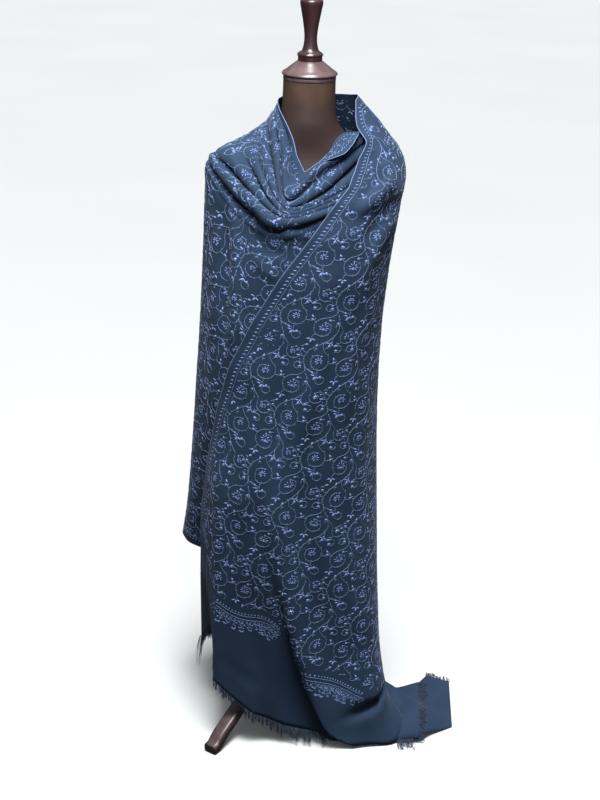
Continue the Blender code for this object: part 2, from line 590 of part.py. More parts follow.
def build_fringes(panel, upper, lower):
    hem = panel[-1]
    ridge = sum(AROUND_PANEL[:3])
    front = [point for point in hem[:ridge + 1] if point[0] < 0.070][::-1]
    down, rim = [], []
    for point in front:
        outwards = ramp(0.060 - point[2], 0.0, 0.045)
        down.append((0.10 * outwards, -0.9 * outwards, -1.0 + 0.75 * outwards))
        rim.append(point + np.array((0.0, -0.0012 * outwards, -0.0004 + 0.0004 * outwards)))
    comb("fringe_front_hem", rim, down)
    corner = hem[ridge + 1:]
    comb("fringe_turned_corner", corner + (0.0, 0.0, -0.0004), [(-0.1, 0.1, -1.0)] * len(corner))
    edge = upper[:, -1] + (0.0004, 0.0, 0.0)
    comb("fringe_tail_end", edge, [(1.0, 0.0, 0.10)] * len(edge))
    back = lower[0, 4:] + (0.0, 0.0004, 0.0)
    comb("fringe_tail_back", back, [(0.1, 1.0, 0.0)] * len(back))
    toe = upper[-1, :6] + (0.0, -0.0004, 0.0)
    comb("fringe_floor_front", toe, [(0.15, -1.0, -0.15)] * len(toe))


# ---------------------------------------------------------------- the form and its stand
def turned(name, profile, finish, steps=20):
    """A turned piece: its profile spun round the pole's axis."""
    vertices = [(radius, 0.0, height) for radius, height in profile]
    mesh = bpy.data.meshes.new(name)
    mesh.from_pydata(vertices, [(i, i + 1) for i in range(len(vertices) - 1)], [])
    piece = bpy.data.objects.new(name, mesh)
    piece.data.materials.append(finish)
    COLLECTION.objects.link(piece)
    piece.location = (POLE_X, POLE_Y, 0.0)
    spin = piece.modifiers.new("turn", "SCREW")
    spin.steps = spin.render_steps = steps
    spin.use_merge_vertices = True
    spin.merge_threshold = 0.00005
    spin.use_smooth_shade = True
    return piece


def ring(section, count):
    """One level ring of the form: an oval whose front and back depths differ."""
    height, width, front, back, power = section
    points = []
    for i in range(count):
        angle = 2 * math.pi * i / count
        c, s = math.cos(angle), math.sin(angle)
        x = width * math.copysign(abs(c) ** (2 / power), c)
        y = (back if s > 0 else front) * math.copysign(abs(s) ** (2 / power), s)
        points.append((x, y, height))
    return points


def loft(name, rings, finish):
    """A closed solid through rings of equal count, each end closed by one face."""
    count = len(rings[0])
    vertices = [point for one in rings for point in one]
    faces = [tuple(range(count))]
    for level in range(len(rings) - 1):
        low = level * count
        for i in range(count):
            j = (i + 1) % count
            faces.append((low + j, low + i, low + count + i, low + count + j))
    faces.append(tuple(reversed(range(len(vertices) - count, len(vertices)))))
    return new_object(name, vertices, faces, finish)


def build_form():
    turned("form_finial", FINIAL_PROFILE, DARK_WOOD)
    turned("form_neck_cap", CAP_PROFILE, RED_WOOD, 28)
    loft("form_torso", [ring(section, 30) for section in FORM_SECTIONS], LEATHERETTE)
    turned("form_base_plate", PLATE_PROFILE, RED_WOOD, 24)


def build_leg(number, azimuth):
    """A curved leg of rounded box section, flat under its toe."""
    angle = math.radians(azimuth)
    outwards = np.array((math.cos(angle), math.sin(angle), 0.0))
    across = np.array((-math.sin(angle), math.cos(angle), 0.0))
    stations = np.array(LEG_STATIONS)
    rings = []
    for i, (reach, height, depth) in enumerate(stations):
        before, after = stations[max(i - 1, 0)], stations[min(i + 1, len(stations) - 1)]
        run, rise = after[0] - before[0], (after[1] - before[1]) * min(i, 1)
        length = math.hypot(run, rise)
        upwards = np.array((0.0, 0.0, run / length)) - outwards * (rise / length)
        middle = outwards * reach + np.array((0.0, 0.0, height))
        half, bevel = LEG_WIDTH / 2, 0.005
        one = []
        for side, up in ((-1, -1), (1, -1), (1, 1), (-1, 1)):
            for cut in ((0, bevel), (bevel, 0)) if side * up > 0 else ((bevel, 0), (0, bevel)):
                one.append(middle + across * side * (half - cut[0])
                           + upwards * up * (depth / 2 - cut[1]))
        rings.append([(p[0], p[1], max(p[2], 0.0)) for p in one])
    return loft(f"stand_leg_{number}", rings, RED_WOOD)


def build_stand():
    bpy.ops.mesh.primitive_cylinder_add(
        vertices=20, radius=POLE_RADIUS, depth=PLATE_PROFILE[-1][1] - HUB_TOP - 2 * REST,
        location=(POLE_X, POLE_Y, (PLATE_PROFILE[-1][1] + HUB_TOP) / 2))
    pole = bpy.context.object
    pole.name = pole.data.name = "stand_pole"
    pole.data.materials.append(RED_WOOD)
    for owner in pole.users_collection:
        owner.objects.unlink(pole)
    COLLECTION.objects.link(pole)
    pole.data.shade_smooth()
    turned("stand_hub", HUB_PROFILE, RED_WOOD)
    for number, azimuth in enumerate(LEG_AZIMUTHS, start=1):
        build_leg(number, azimuth)


# ---------------------------------------------------------------- everything
for leftover in list(bpy.data.objects):
    bpy.data.objects.remove(leftover, do_unlink=True)
COLLECTION = bpy.data.collections.new("pashmina shawl on a dress form")
bpy.context.scene.collection.children.link(COLLECTION)
FABRIC = material("navy twill", (0.040, 0.068, 0.125), 0.80)
LEATHERETTE = material("brown leatherette", (0.130, 0.095, 0.080), 0.55)
RED_WOOD = material("red-brown polished wood", (0.130, 0.060, 0.058), 0.25)
DARK_WOOD = material("dark polished wood", (0.050, 0.016, 0.020), 0.22)

build_form()
build_stand()
chest_wrap, front_panel = build_wrap()
build_turned_edge(chest_wrap)
tail_upper, tail_lower = build_floor_end(front_panel[-1][:AROUND_PANEL[0] + 1])
build_fringes(front_panel, tail_upper, tail_lower)
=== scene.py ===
# %% [markdown]
# # A long embroidered shawl on a dress form
#
# The shawl is one piece of fine wool twill, about one metre wide and two metres long, with
# needlework all over it, a plain band at its end and a frayed fringe. It is wound once round
# a dress form: across the chest, round the back and over the shoulder again, so that its end
# hangs down the front and lies on the floor.
#
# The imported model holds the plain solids. This file gives each of them its looks. The solids
# that are hard stay as they are or get a finer copy, and the cloth is made again as one thin
# surface with its folds.

# %% The frame
import math

import bpy
import numpy as np
from mathutils import Matrix, Vector
from mathutils.bvhtree import BVHTree


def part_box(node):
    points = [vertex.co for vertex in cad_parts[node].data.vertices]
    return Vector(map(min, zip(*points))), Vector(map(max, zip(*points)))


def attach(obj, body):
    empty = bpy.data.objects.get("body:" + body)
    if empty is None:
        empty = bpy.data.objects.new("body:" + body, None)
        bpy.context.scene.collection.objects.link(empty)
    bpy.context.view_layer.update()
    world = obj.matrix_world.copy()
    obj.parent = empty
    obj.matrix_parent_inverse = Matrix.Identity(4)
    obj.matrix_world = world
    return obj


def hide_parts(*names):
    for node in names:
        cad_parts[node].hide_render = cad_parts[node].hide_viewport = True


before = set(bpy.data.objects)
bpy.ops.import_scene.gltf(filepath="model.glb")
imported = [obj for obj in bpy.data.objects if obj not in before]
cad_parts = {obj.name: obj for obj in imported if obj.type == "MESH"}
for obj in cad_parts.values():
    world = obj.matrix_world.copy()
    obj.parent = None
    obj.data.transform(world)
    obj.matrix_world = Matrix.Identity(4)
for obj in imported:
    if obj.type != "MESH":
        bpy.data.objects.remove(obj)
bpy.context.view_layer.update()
PLATE_LOW, PLATE_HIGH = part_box("form_base_plate")
POLE = 0.5 * (PLATE_LOW + PLATE_HIGH)
POLE.z = 0.0
print("nodes:", len(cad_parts), "pole at", [round(value, 4) for value in POLE])

# %% [markdown]
# ## Small helpers
#
# An operator works on all that is selected, so each step first deselects everything. A piece
# is finished by applying its modifiers and its place, so that its object sits at the origin,
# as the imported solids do. All pieces are on the one body that the part has.


# %% Selecting and finishing
def apply_all(piece):
    """Applies the piece's modifiers and its place."""
    select_only(piece)
    for modifier in list(piece.modifiers):
        bpy.ops.object.modifier_apply(modifier=modifier.name)
    bpy.ops.object.transform_apply(location=True, rotation=True, scale=True)


def select_only(piece):
    bpy.ops.object.select_all(action="DESELECT")
    piece.select_set(True)
    bpy.context.view_layer.objects.active = piece


def add_surface(name, points, faces, finish):
    """A mesh from points measured from the pole's foot."""
    mesh = bpy.data.meshes.new(name)
    mesh.from_pydata((np.asarray(points, float) + np.array(POLE)).tolist(), [], faces)
    mesh.update()
    mesh.shade_smooth()
    piece = bpy.data.objects.new(name, mesh)
    bpy.context.scene.collection.objects.link(piece)
    mesh.materials.append(finish)
    return piece


def set_finish(piece, finish):
    piece.data.materials.clear()
    piece.data.materials.append(finish)


def hand_over(piece, slot, *replaced):
    """Puts the piece on the root body and hides the nodes that it replaces. The slot is not used.
    """
    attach(piece, "root")
    if replaced:
        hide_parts(*replaced)
    triangles = sum(len(face.vertices) - 2 for face in piece.data.polygons)
    print(piece.name, triangles, "triangles")
    return piece


# %% [markdown]
# ## Camera, floor and light
#
# The camera stands in front of the form, a little above its neck, and looks down, so that the
# end on the floor is seen from above. A long lens keeps the proportions of the drape.

# %% Camera
CAMERA_DISTANCE, CAMERA_HEIGHT = 2.83, 1.90
CAMERA_DOWN, CAMERA_ROLL = math.radians(22.2), math.radians(1.7)

camera_data = bpy.data.cameras.new("camera")
camera = bpy.data.objects.new("camera", camera_data)
bpy.context.scene.collection.objects.link(camera)
camera_data.lens = 63.0
camera_data.sensor_width = 36.0
camera.location = (POLE.x, POLE.y - CAMERA_DISTANCE, CAMERA_HEIGHT)
looks_down = Matrix.Rotation(math.pi / 2 - CAMERA_DOWN, 4, "X")
camera.rotation_euler = (looks_down @ Matrix.Rotation(CAMERA_ROLL, 4, "Z")).to_euler()
bpy.context.scene.camera = camera
print("camera at", [round(value, 3) for value in camera.location])

# %% Floor
bpy.ops.object.select_all(action="DESELECT")
bpy.ops.mesh.primitive_plane_add(size=60.0, location=(0.0, 0.0, -0.0005))
floor = bpy.context.object
floor.name = "studio_floor"
floor.visible_diffuse = False          # a white floor would light the cloth from below
floor.visible_glossy = False           # and would show as grey streaks in the varnish


# %% Lights
SUN_POWER, SUN_SOFTNESS, SUN_AT = 3.2, 22.0, (83.0, -70.0)      # degrees: elevation, azimuth
SOFT_BOXES = (
    # name, size, power, place, target
    ("soft box above the neck", 0.8, 38.0, (-0.10, -0.75, 2.35), (0.0, 0.0, 1.30)),
    ("soft fill from the front", 1.4, 3.2, (0.5, -3.0, 1.5), (0.0, 0.0, 0.9)),
)
SKY_COLOUR, WALL_BEHIND = (0.95, 0.975, 1.0, 1.0), 0.95
SKY_RISE = (("From Min", 0.05), ("From Max", 0.95), ("To Min", 0.06), ("To Max", 0.50))


def add_light(name, kind, power, away, place=(0.0, 0.0, 0.0), **shape):
    """A light that stands in the given direction from what it lights."""
    data = bpy.data.lights.new(name, kind)
    data.energy = power
    for key, value in shape.items():
        setattr(data, key, value)
    light = bpy.data.objects.new(name, data)
    light.location = place
    light.rotation_euler = (-Vector(away)).to_track_quat("-Z", "Y").to_euler()
    bpy.context.scene.collection.objects.link(light)


elevation, azimuth = (math.radians(angle) for angle in SUN_AT)
add_light("large soft light overhead", "SUN", SUN_POWER,
          (math.cos(elevation) * math.cos(azimuth), math.cos(elevation) * math.sin(azimuth),
           math.sin(elevation)), angle=math.radians(SUN_SOFTNESS))
for name, size, power, place, target in SOFT_BOXES:
    add_light(name, "AREA", power, Vector(place) - Vector(target), place, size=size)

world = bpy.data.worlds.new("pale studio")
world.use_nodes = True
sky, sky_link = world.node_tree.nodes, world.node_tree.links.new
sky["Background"].inputs["Color"].default_value = SKY_COLOUR
where, parts, lift, seen, behind = (sky.new("ShaderNode" + kind) for kind in (
    "TexCoord", "SeparateXYZ", "MapRange", "LightPath", "Mix"))
for socket, value in SKY_RISE:                 # the sky is brighter above than at the floor
    lift.inputs[socket].default_value = value
behind.data_type = "FLOAT"
behind.inputs["B"].default_value = WALL_BEHIND     # the wall behind is as pale as the floor
sky_link(where.outputs["Generated"], parts.inputs["Vector"])
sky_link(parts.outputs["Z"], lift.inputs["Value"])
sky_link(seen.outputs["Is Camera Ray"], behind.inputs["Factor"])
sky_link(lift.outputs["Result"], behind.inputs["A"])
sky_link(behind.outputs["Result"], sky["Background"].inputs["Strength"])
bpy.context.scene.world = world
bpy.context.scene.view_settings.view_transform = "Standard"


# %% [markdown]
# ## Finishes
#
# Each finish is a small tree of nodes. The cloth's weave follows the cloth, so it reads a map
# of the flat shawl in metres; wood and leatherette read the place in space.

# %% Building blocks for finishes
class Finish:
    """A material whose nodes are added one after another."""

    def __init__(self, name, colour, roughness, **more):
        self.material = bpy.data.materials.new(name)
        self.material.use_nodes = True
        self.tree = self.material.node_tree
        self.shader = self.tree.nodes["Principled BSDF"]
        more = {"Base_Color": (*colour, 1.0), "Roughness": roughness, **more}
        for socket, value in more.items():
            self.shader.inputs[socket.replace("_", " ")].default_value = value

    def node(self, kind, source=None, **settings):
        """A new node with its settings, and a source for its first socket."""
        made = self.tree.nodes.new("ShaderNode" + kind)
        for key, value in settings.items():
            if key in made.inputs:
                made.inputs[key].default_value = value
            else:
                setattr(made, key, value)
        if source is not None:
            self.tree.links.new(source, made.inputs[0])
        return made

    def place(self, scale=None):
        """The place in space, stretched where a scale is given."""
        place = self.node("TexCoord").outputs["Object"]
        return place if scale is None else self.node("Mapping", place, Scale=scale).outputs[0]

    def flat(self, scale=(1.0, 1.0, 1.0), angle=0.0):
        """The cloth's own map, in metres, scaled and turned."""
        flat = self.node("UVMap", uv_map="flat").outputs["UV"]
        return self.node("Mapping", flat, Scale=scale, Rotation=(0.0, 0.0, angle)).outputs[0]

    def noise(self, where, scale, detail=3.0):
        return self.node("TexNoise", where, Scale=scale, Detail=detail).outputs["Fac"]

    def ramp(self, amount, *stops):
        """A colour chosen by an amount; each stop is a position and a colour."""
        made = self.node("ValToRGB", amount)
        elements = made.color_ramp.elements
        while len(elements) < len(stops):
            elements.new(0.5)
        for element, (position, colour) in zip(elements, stops):
            element.position = position
            element.color = (*colour, 1.0)
        return made.outputs["Color"]

    def sum(self, kind, first, second, third=None):
        """A sum of the given kind; each value is a number or another node's socket."""
        made = self.node("Math", operation=kind)
        for socket, value in zip(made.inputs, (first, second, third)):
            if isinstance(value, float):
                socket.default_value = value
            elif value is not None:
                self.tree.links.new(value, socket)
        return made.outputs[0]

    def bump(self, height, strength, distance, before=None):
        made = self.node("Bump", Strength=strength, Distance=distance)
        self.tree.links.new(height, made.inputs["Height"])
        if before is not None:
            self.tree.links.new(before, made.inputs["Normal"])
        return made.outputs["Normal"]

    def finished(self, colour, relief=None):
        """The material with its colour and its relief linked."""
        self.tree.links.new(colour, self.shader.inputs["Base Color"])
        if relief is not None:
            self.tree.links.new(relief, self.shader.inputs["Normal"])
        return self.material


def floor_finish():
    finish = Finish("pale studio floor", (0.650, 0.668, 0.670), 0.9)
    soft = finish.noise(finish.place(), 0.8, 1.0)
    return finish.finished(finish.ramp(soft, (0.3, (0.640, 0.658, 0.660)),
                                       (0.7, (0.660, 0.678, 0.680))))


floor.data.materials.append(floor_finish())

# %% [markdown]
# ### Wool twill
#
# The shawl is woven in a fine 2/2 twill: diagonal lines a little over a millimetre apart,
# with a soft hairy surface that shines faintly where it turns away. The yarn was dyed before
# weaving, so the colour varies slightly along both directions.

# %% Wool twill
NAVY_DARK, NAVY_LIGHT = (0.0145, 0.0300, 0.0610), (0.0212, 0.0425, 0.0810)
TWILL_PITCH = 0.0013
WAVE_LENGTH = 0.31416        # the wave node's own length of a line at scale 1


def twill_finish():
    finish = Finish("navy wool twill", NAVY_LIGHT, 0.78, Sheen_Weight=0.08, Sheen_Roughness=0.5,
                    Sheen_Tint=(0.75, 0.84, 1.0, 1.0), Specular_IOR_Level=0.12)
    clouds = finish.noise(finish.flat((9.0, 14.0, 1.0)), 1.0, 4.0)
    lines = finish.node("TexWave", finish.flat(angle=math.radians(45)),
                        Scale=WAVE_LENGTH / TWILL_PITCH, Distortion=0.4)
    woven = finish.bump(lines.outputs["Fac"], 0.25, 0.0003)
    hair = finish.noise(finish.flat((600.0, 900.0, 1.0)), 1.0, 2.0)
    return finish.finished(finish.ramp(clouds, (0.25, NAVY_DARK), (0.75, NAVY_LIGHT)),
                           finish.bump(hair, 0.3, 0.0003, woven))


TWILL = twill_finish()

# %% [markdown]
# ### Needlework yarn
#
# The stitches are done in a slightly thicker, shinier pale blue yarn, so they catch more light
# than the ground. Each stitch carries its own tone and the dye is a little patchy. Its few
# fullest spots are painted pure white, a painted glint.

# %% Needlework yarn
YARN_THIN, YARN_BLUE = (0.125, 0.185, 0.320), (0.115, 0.180, 0.430)
# the last yarn colour is a painted glint: pure white for the fullest spots
YARN_PALE, YARN_PAINTED_GLINT = (0.160, 0.240, 0.520), (1.0, 1.0, 1.0)
PATCH_SHARE, TONE_RANGE = 0.9, 0.62       # how much the patches add, and what the sum is cut to


def yarn_finish():
    finish = Finish("pale blue needlework yarn", YARN_BLUE, 0.60, Sheen_Weight=0.06)
    tone = finish.node("Attribute", attribute_name="tone").outputs["Fac"]
    patches = finish.noise(finish.place(), 60.0, 2.0)
    amount = finish.sum("MULTIPLY", finish.sum("MULTIPLY_ADD", patches, PATCH_SHARE, tone),
                        TONE_RANGE)
    strands = finish.noise(finish.place(), 1400.0, 1.0)
    # where the tone sum passes 1 the yarn is painted pure white, a painted glint
    return finish.finished(
        finish.ramp(amount, (0.30, YARN_THIN), (1.0, YARN_PALE), (1.0, YARN_PAINTED_GLINT)),
        finish.bump(strands, 0.4, 0.0002))


YARN = yarn_finish()

# %% [markdown]
# ### Leatherette, wood
#
# The form is covered in brown leatherette with a fine pebble grain; its neck is painted paler
# just below its cap, painted light from above. Cap, finial and stand are turned wood with a
# red-brown stain under a gloss varnish; the cap's colour is painted paler, painted light on its
# upward face.


# %% Leatherette and wood
# The neck's painted light: its colour grows paler towards the top, between these heights.
COVER_PAINTED_LIGHT, COVER_BROWN = (0.074, 0.045, 0.031), (0.034, 0.021, 0.020)
PAINTED_LIGHT_FROM, PAINTED_LIGHT_TO = 1.340, 1.440     # height of the paler part of the neck
GRAIN_SCALE = (60.0, 60.0, 6.0)           # the grain runs up the turned pieces


def leatherette_finish():
    finish = Finish("brown leatherette", COVER_BROWN, 0.5, Specular_IOR_Level=0.3)
    height = finish.node("SeparateXYZ", finish.place()).outputs["Z"]
    # painted light from above: paler with height, broken up by noise
    painted_light = finish.node("MapRange", height, interpolation_type="SMOOTHSTEP")
    painted_light.inputs["From Min"].default_value = PAINTED_LIGHT_FROM
    painted_light.inputs["From Max"].default_value = PAINTED_LIGHT_TO
    uneven_painted_light = finish.sum("MULTIPLY", painted_light.outputs["Result"], finish.noise(finish.place(), 26.0))
    pebbles = finish.node("TexVoronoi", finish.place(), Scale=420.0)
    return finish.finished(finish.ramp(uneven_painted_light, (0.05, COVER_BROWN), (0.60, COVER_PAINTED_LIGHT)),
                           finish.bump(pebbles.outputs["Distance"], 0.25, 0.0004))


def wood_finish(name, dark, light, roughness, coat=0.4):
    finish = Finish(name, light, roughness, Coat_Weight=coat, Coat_Roughness=0.2)
    grain = finish.noise(finish.place(GRAIN_SCALE), 1.0, 5.0)
    return finish.finished(finish.ramp(grain, (0.35, dark), (0.65, light)),
                           finish.bump(grain, 0.08, 0.0003))


LEATHERETTE = leatherette_finish()
RED_WOOD = wood_finish("red-brown varnished wood", (0.038, 0.020, 0.023), (0.066, 0.038, 0.043),
                       0.42, 0.15)
# The cap is the stand's red-brown wood, its colour painted paler: painted light on its upward face.
CAP_WOOD_PAINTED_LIT = wood_finish("red-brown wood with painted light", (0.063, 0.036, 0.036), (0.097, 0.063, 0.063),
                       0.28, 0.5)
DARK_WOOD = wood_finish("dark varnished wood", (0.022, 0.008, 0.011), (0.044, 0.020, 0.025), 0.28)
print("finishes:", [finish.name for finish in bpy.data.materials])

# %% [markdown]
# ## The cloth
#
# The shawl is wound round the form, so one grid of points holds all of it: each row runs from
# the hidden beginning across the chest, round the back and over to the leading edge of the
# front stretch, and each column runs from the neck down to a hem. The knots below are the
# places where the drape turns. Smooth curves join them, first along the rows, then down the
# columns, which rounds every fold as soft wool does.

# %% Knots of the drape, measured from the pole's foot, in metres
# The two lines on the cloth where a stretch ends: height and distance from the middle.
RIGHT_SIDE = (
    (1.4040, 0.0975), (1.3870, 0.1130), (1.3580, 0.1426), (1.3065, 0.1858), (1.2780, 0.1996),
    (1.2490, 0.2032), (1.1930, 0.1940), (1.1260, 0.1852), (1.0635, 0.1780), (1.0000, 0.1728),
    (0.9325, 0.1676), (0.8460, 0.1668), (0.7500, 0.1675), (0.6550, 0.1703), (0.4500, 0.1800),
    (0.2500, 0.1865), (0.0830, 0.1905), (0.0200, 0.1970),
)

# The rows of the chest stretch. Each knot is (x, y, z); the last gives x and z on the side
# line. The troughs say how far the cloth sinks between this row and the next one, at the
# rise, at the lowest point and at the fall (a negative trough is a ridge).
CHEST_ROWS = (
    # name, end, rise, slope, low, fall, side, trough at rise, low, fall
    ("neck edge", (0.108, -0.046, 1.3445), (0.066, -0.0625, 1.340), (0.0385, -0.0935, 1.305),
     (-0.004, -0.100, 1.272), (-0.030, -0.064, 1.338), (-0.0600, 1.388), 0.003, 0.002, 0.002),
    ("fold 1", (0.112, -0.045, 1.332), (0.072, -0.090, 1.313), (0.030, -0.112, 1.293),
     (-0.036, -0.130, 1.228), (-0.047, -0.074, 1.307), (-0.0640, 1.375), 0.000, 0.006, 0.006),
    ("fold 2", (0.116, -0.055, 1.312), (0.078, -0.096, 1.291), (0.035, -0.131, 1.254),
     (-0.034, -0.1385, 1.214), (-0.063, -0.072, 1.303), (-0.0740, 1.360), 0.012, 0.003, 0.009),
    ("fold 3", (0.112, -0.075, 1.288), (0.084, -0.108, 1.259), (0.042, -0.134, 1.233),
     (-0.028, -0.1440, 1.208), (-0.084, -0.076, 1.285), (-0.0930, 1.334), 0.009, 0.003, 0.010),
    ("fold 4", (0.108, -0.088, 1.262), (0.080, -0.118, 1.240), (0.036, -0.138, 1.222),
     (-0.030, -0.1475, 1.2015), (-0.098, -0.076, 1.274), (-0.1130, 1.314), 0.004, 0.002, 0.006),
    ("fold 5", (0.100, -0.102, 1.244), (0.072, -0.126, 1.228), (0.030, -0.143, 1.212),
     (-0.030, -0.1500, 1.1950), (-0.120, -0.086, 1.250), (-0.1830, 1.287), 0.004, 0.004, 0.010),
    ("fold 6", (0.090, -0.114, 1.226), (0.060, -0.134, 1.214), (0.020, -0.149, 1.201),
     (-0.034, -0.1515, 1.188), (-0.128, -0.100, 1.219), (-0.1980, 1.278), 0.010, 0.012, 0.012),
    ("fold 7", (0.070, -0.132, 1.198), (0.036, -0.145, 1.180), (0.000, -0.151, 1.161),
     (-0.052, -0.143, 1.146), (-0.140, -0.092, 1.183), (-0.2060, 1.260), 0.000, 0.000, 0.000),
    ("bust", (0.030, -0.150, 1.120), (-0.004, -0.153, 1.105), (-0.036, -0.152, 1.098),
     (-0.084, -0.143, 1.092), (-0.160, -0.090, 1.115), (-0.2090, 1.180), 0.000, 0.000, 0.000),
    ("under bust", (-0.010, -0.155, 1.045), (-0.036, -0.154, 1.035), (-0.062, -0.151, 1.032),
     (-0.105, -0.140, 1.030), (-0.175, -0.088, 1.045), (-0.2115, 1.090), 0.000, 0.000, 0.000),
    ("waist", (-0.050, -0.155, 0.955), (-0.076, -0.152, 0.952), (-0.100, -0.148, 0.950),
     (-0.136, -0.133, 0.952), (-0.190, -0.078, 0.965), (-0.2150, 0.990), 0.000, 0.000, 0.000),
    ("high hip", (-0.085, -0.150, 0.870), (-0.112, -0.144, 0.870), (-0.134, -0.136, 0.870),
     (-0.162, -0.119, 0.872), (-0.203, -0.064, 0.882), (-0.2195, 0.900), 0.000, 0.000, 0.000),
    ("hip", (-0.105, -0.145, 0.780), (-0.132, -0.136, 0.780), (-0.153, -0.126, 0.780),
     (-0.178, -0.108, 0.782), (-0.212, -0.058, 0.790), (-0.2255, 0.800), 0.000, 0.000, 0.000),
    ("thigh", (-0.118, -0.136, 0.690), (-0.146, -0.124, 0.690), (-0.168, -0.112, 0.690),
     (-0.190, -0.095, 0.691), (-0.220, -0.050, 0.695), (-0.2310, 0.700), 0.000, 0.000, 0.000),
    ("low thigh", (-0.124, -0.126, 0.595), (-0.154, -0.112, 0.595), (-0.178, -0.098, 0.595),
     (-0.200, -0.080, 0.596), (-0.229, -0.042, 0.598), (-0.2375, 0.600), 0.000, 0.000, 0.000),
    ("knee", (-0.126, -0.112, 0.500), (-0.158, -0.098, 0.500), (-0.184, -0.084, 0.500),
     (-0.208, -0.066, 0.500), (-0.237, -0.034, 0.500), (-0.2450, 0.500), 0.000, 0.000, 0.000),
    ("hem", (-0.126, -0.090, 0.402), (-0.160, -0.078, 0.402), (-0.188, -0.065, 0.402),
     (-0.214, -0.048, 0.402), (-0.243, -0.024, 0.403), (-0.2547, 0.405), 0.000, 0.000, 0.000),
)

# The rows of the front panel, beside the chest rows: the height on the right side line, then
# (x, y, z) of the leading edge, and (x, y) of the turn, ridge, middle and corner knots.
PANEL_ROWS = (
    # side z, leading edge, turn, ridge, middle, corner
    (1.4040, (0.0940, -0.008, 1.4000), (0.0948, -0.0065), (0.0955, -0.0050),
     (0.0963, -0.0035), (0.0970, -0.0018)),
    (1.3880, (0.0945, -0.032, 1.3700), (0.0985, -0.0270), (0.1020, -0.0210),
     (0.1060, -0.0145), (0.1095, -0.0075)),
    (1.3680, (0.0980, -0.052, 1.3470), (0.1050, -0.0440), (0.1120, -0.0350),
     (0.1190, -0.0250), (0.1260, -0.0130)),
    (1.3450, (0.1060, -0.074, 1.3300), (0.1160, -0.0620), (0.1260, -0.0500),
     (0.1370, -0.0360), (0.1470, -0.0190)),
    (1.3220, (0.1040, -0.094, 1.3080), (0.1200, -0.0810), (0.1350, -0.0650),
     (0.1500, -0.0470), (0.1630, -0.0260)),
    (1.2980, (0.0950, -0.114, 1.2810), (0.1180, -0.1000), (0.1400, -0.0820),
     (0.1600, -0.0600), (0.1780, -0.0330)),
    (1.2720, (0.0820, -0.136, 1.2500), (0.1110, -0.1220), (0.1390, -0.1020),
     (0.1650, -0.0760), (0.1870, -0.0430)),
    (1.2420, (0.0580, -0.152, 1.2210), (0.0970, -0.1420), (0.1330, -0.1230),
     (0.1660, -0.0930), (0.1910, -0.0530)),
    (1.1700, (0.0103, -0.167, 1.1530), (0.0600, -0.1650), (0.1070, -0.1520),
     (0.1500, -0.1200), (0.1800, -0.0700)),
    (1.0700, (-0.0480, -0.169, 1.0700), (0.0100, -0.1750), (0.0680, -0.1720),
     (0.1200, -0.1500), (0.1600, -0.0930)),
    (0.9550, (-0.1000, -0.162, 0.9780), (-0.0480, -0.1740), (0.0120, -0.1780),
     (0.0880, -0.1640), (0.1450, -0.1050)),
    (0.8300, (-0.1480, -0.146, 0.8720), (-0.1080, -0.1690), (-0.0450, -0.1790),
     (0.0650, -0.1740), (0.1420, -0.1150)),
    (0.6900, (-0.1715, -0.131, 0.7800), (-0.1520, -0.1550), (-0.1150, -0.1740),
     (0.0450, -0.1800), (0.1420, -0.1250)),
    (0.5400, (-0.1930, -0.112, 0.6500), (-0.1850, -0.1420), (-0.1705, -0.1740),
     (0.0400, -0.1880), (0.1460, -0.1370)),
    (0.3700, (-0.2095, -0.083, 0.5100), (-0.1960, -0.1300), (-0.1715, -0.1850),
     (0.0450, -0.1950), (0.1560, -0.1500)),
    (0.1900, (-0.2132, -0.045, 0.3300), (-0.1990, -0.1100), (-0.1710, -0.1950),
     (0.0600, -0.2000), (0.1750, -0.1650)),
    (0.0200, (-0.2135, -0.010, 0.1470), (-0.1785, -0.1100), (-0.1715, -0.2000),
     (0.0500, -0.2080), (0.2050, -0.2000)),
)
# How far the hem departs from a straight line between its two ends, knot by knot, from the
# leading edge to the side line, and the row where the hem's own shape begins.
HEM_LIFT = (0.0, 0.0960, 0.0420, -0.0430, -0.0380, 0.0)
HEM_STARTS = 14
PANEL_SHARES = np.array((0.0, 0.15, 0.30, 0.62, 0.85, 1.0))      # the knots' places on that line

# The back of the wrap: height, reach to the left and right corners, depth of the corners,
# depth in the middle.
SHOULDER_DROP = 0.022    # how far the cloth falls from the shoulder line to the back
BACK_SECTIONS = (
    (1.4000, 0.052, 0.080, 0.055, 0.070),
    (1.3800, 0.060, 0.092, 0.058, 0.078),
    (1.3500, 0.082, 0.110, 0.064, 0.088),
    (1.3200, 0.110, 0.132, 0.070, 0.098),
    (1.2900, 0.140, 0.152, 0.078, 0.108),
    (1.2500, 0.166, 0.166, 0.086, 0.118),
    (1.1800, 0.168, 0.160, 0.098, 0.128),
    (1.0500, 0.162, 0.144, 0.108, 0.132),
    (0.9000, 0.164, 0.132, 0.116, 0.136),
    (0.7000, 0.174, 0.134, 0.126, 0.144),
    (0.4500, 0.190, 0.150, 0.136, 0.156),
    (0.2000, 0.200, 0.164, 0.142, 0.166),
    (0.0000, 0.205, 0.170, 0.146, 0.172),
)

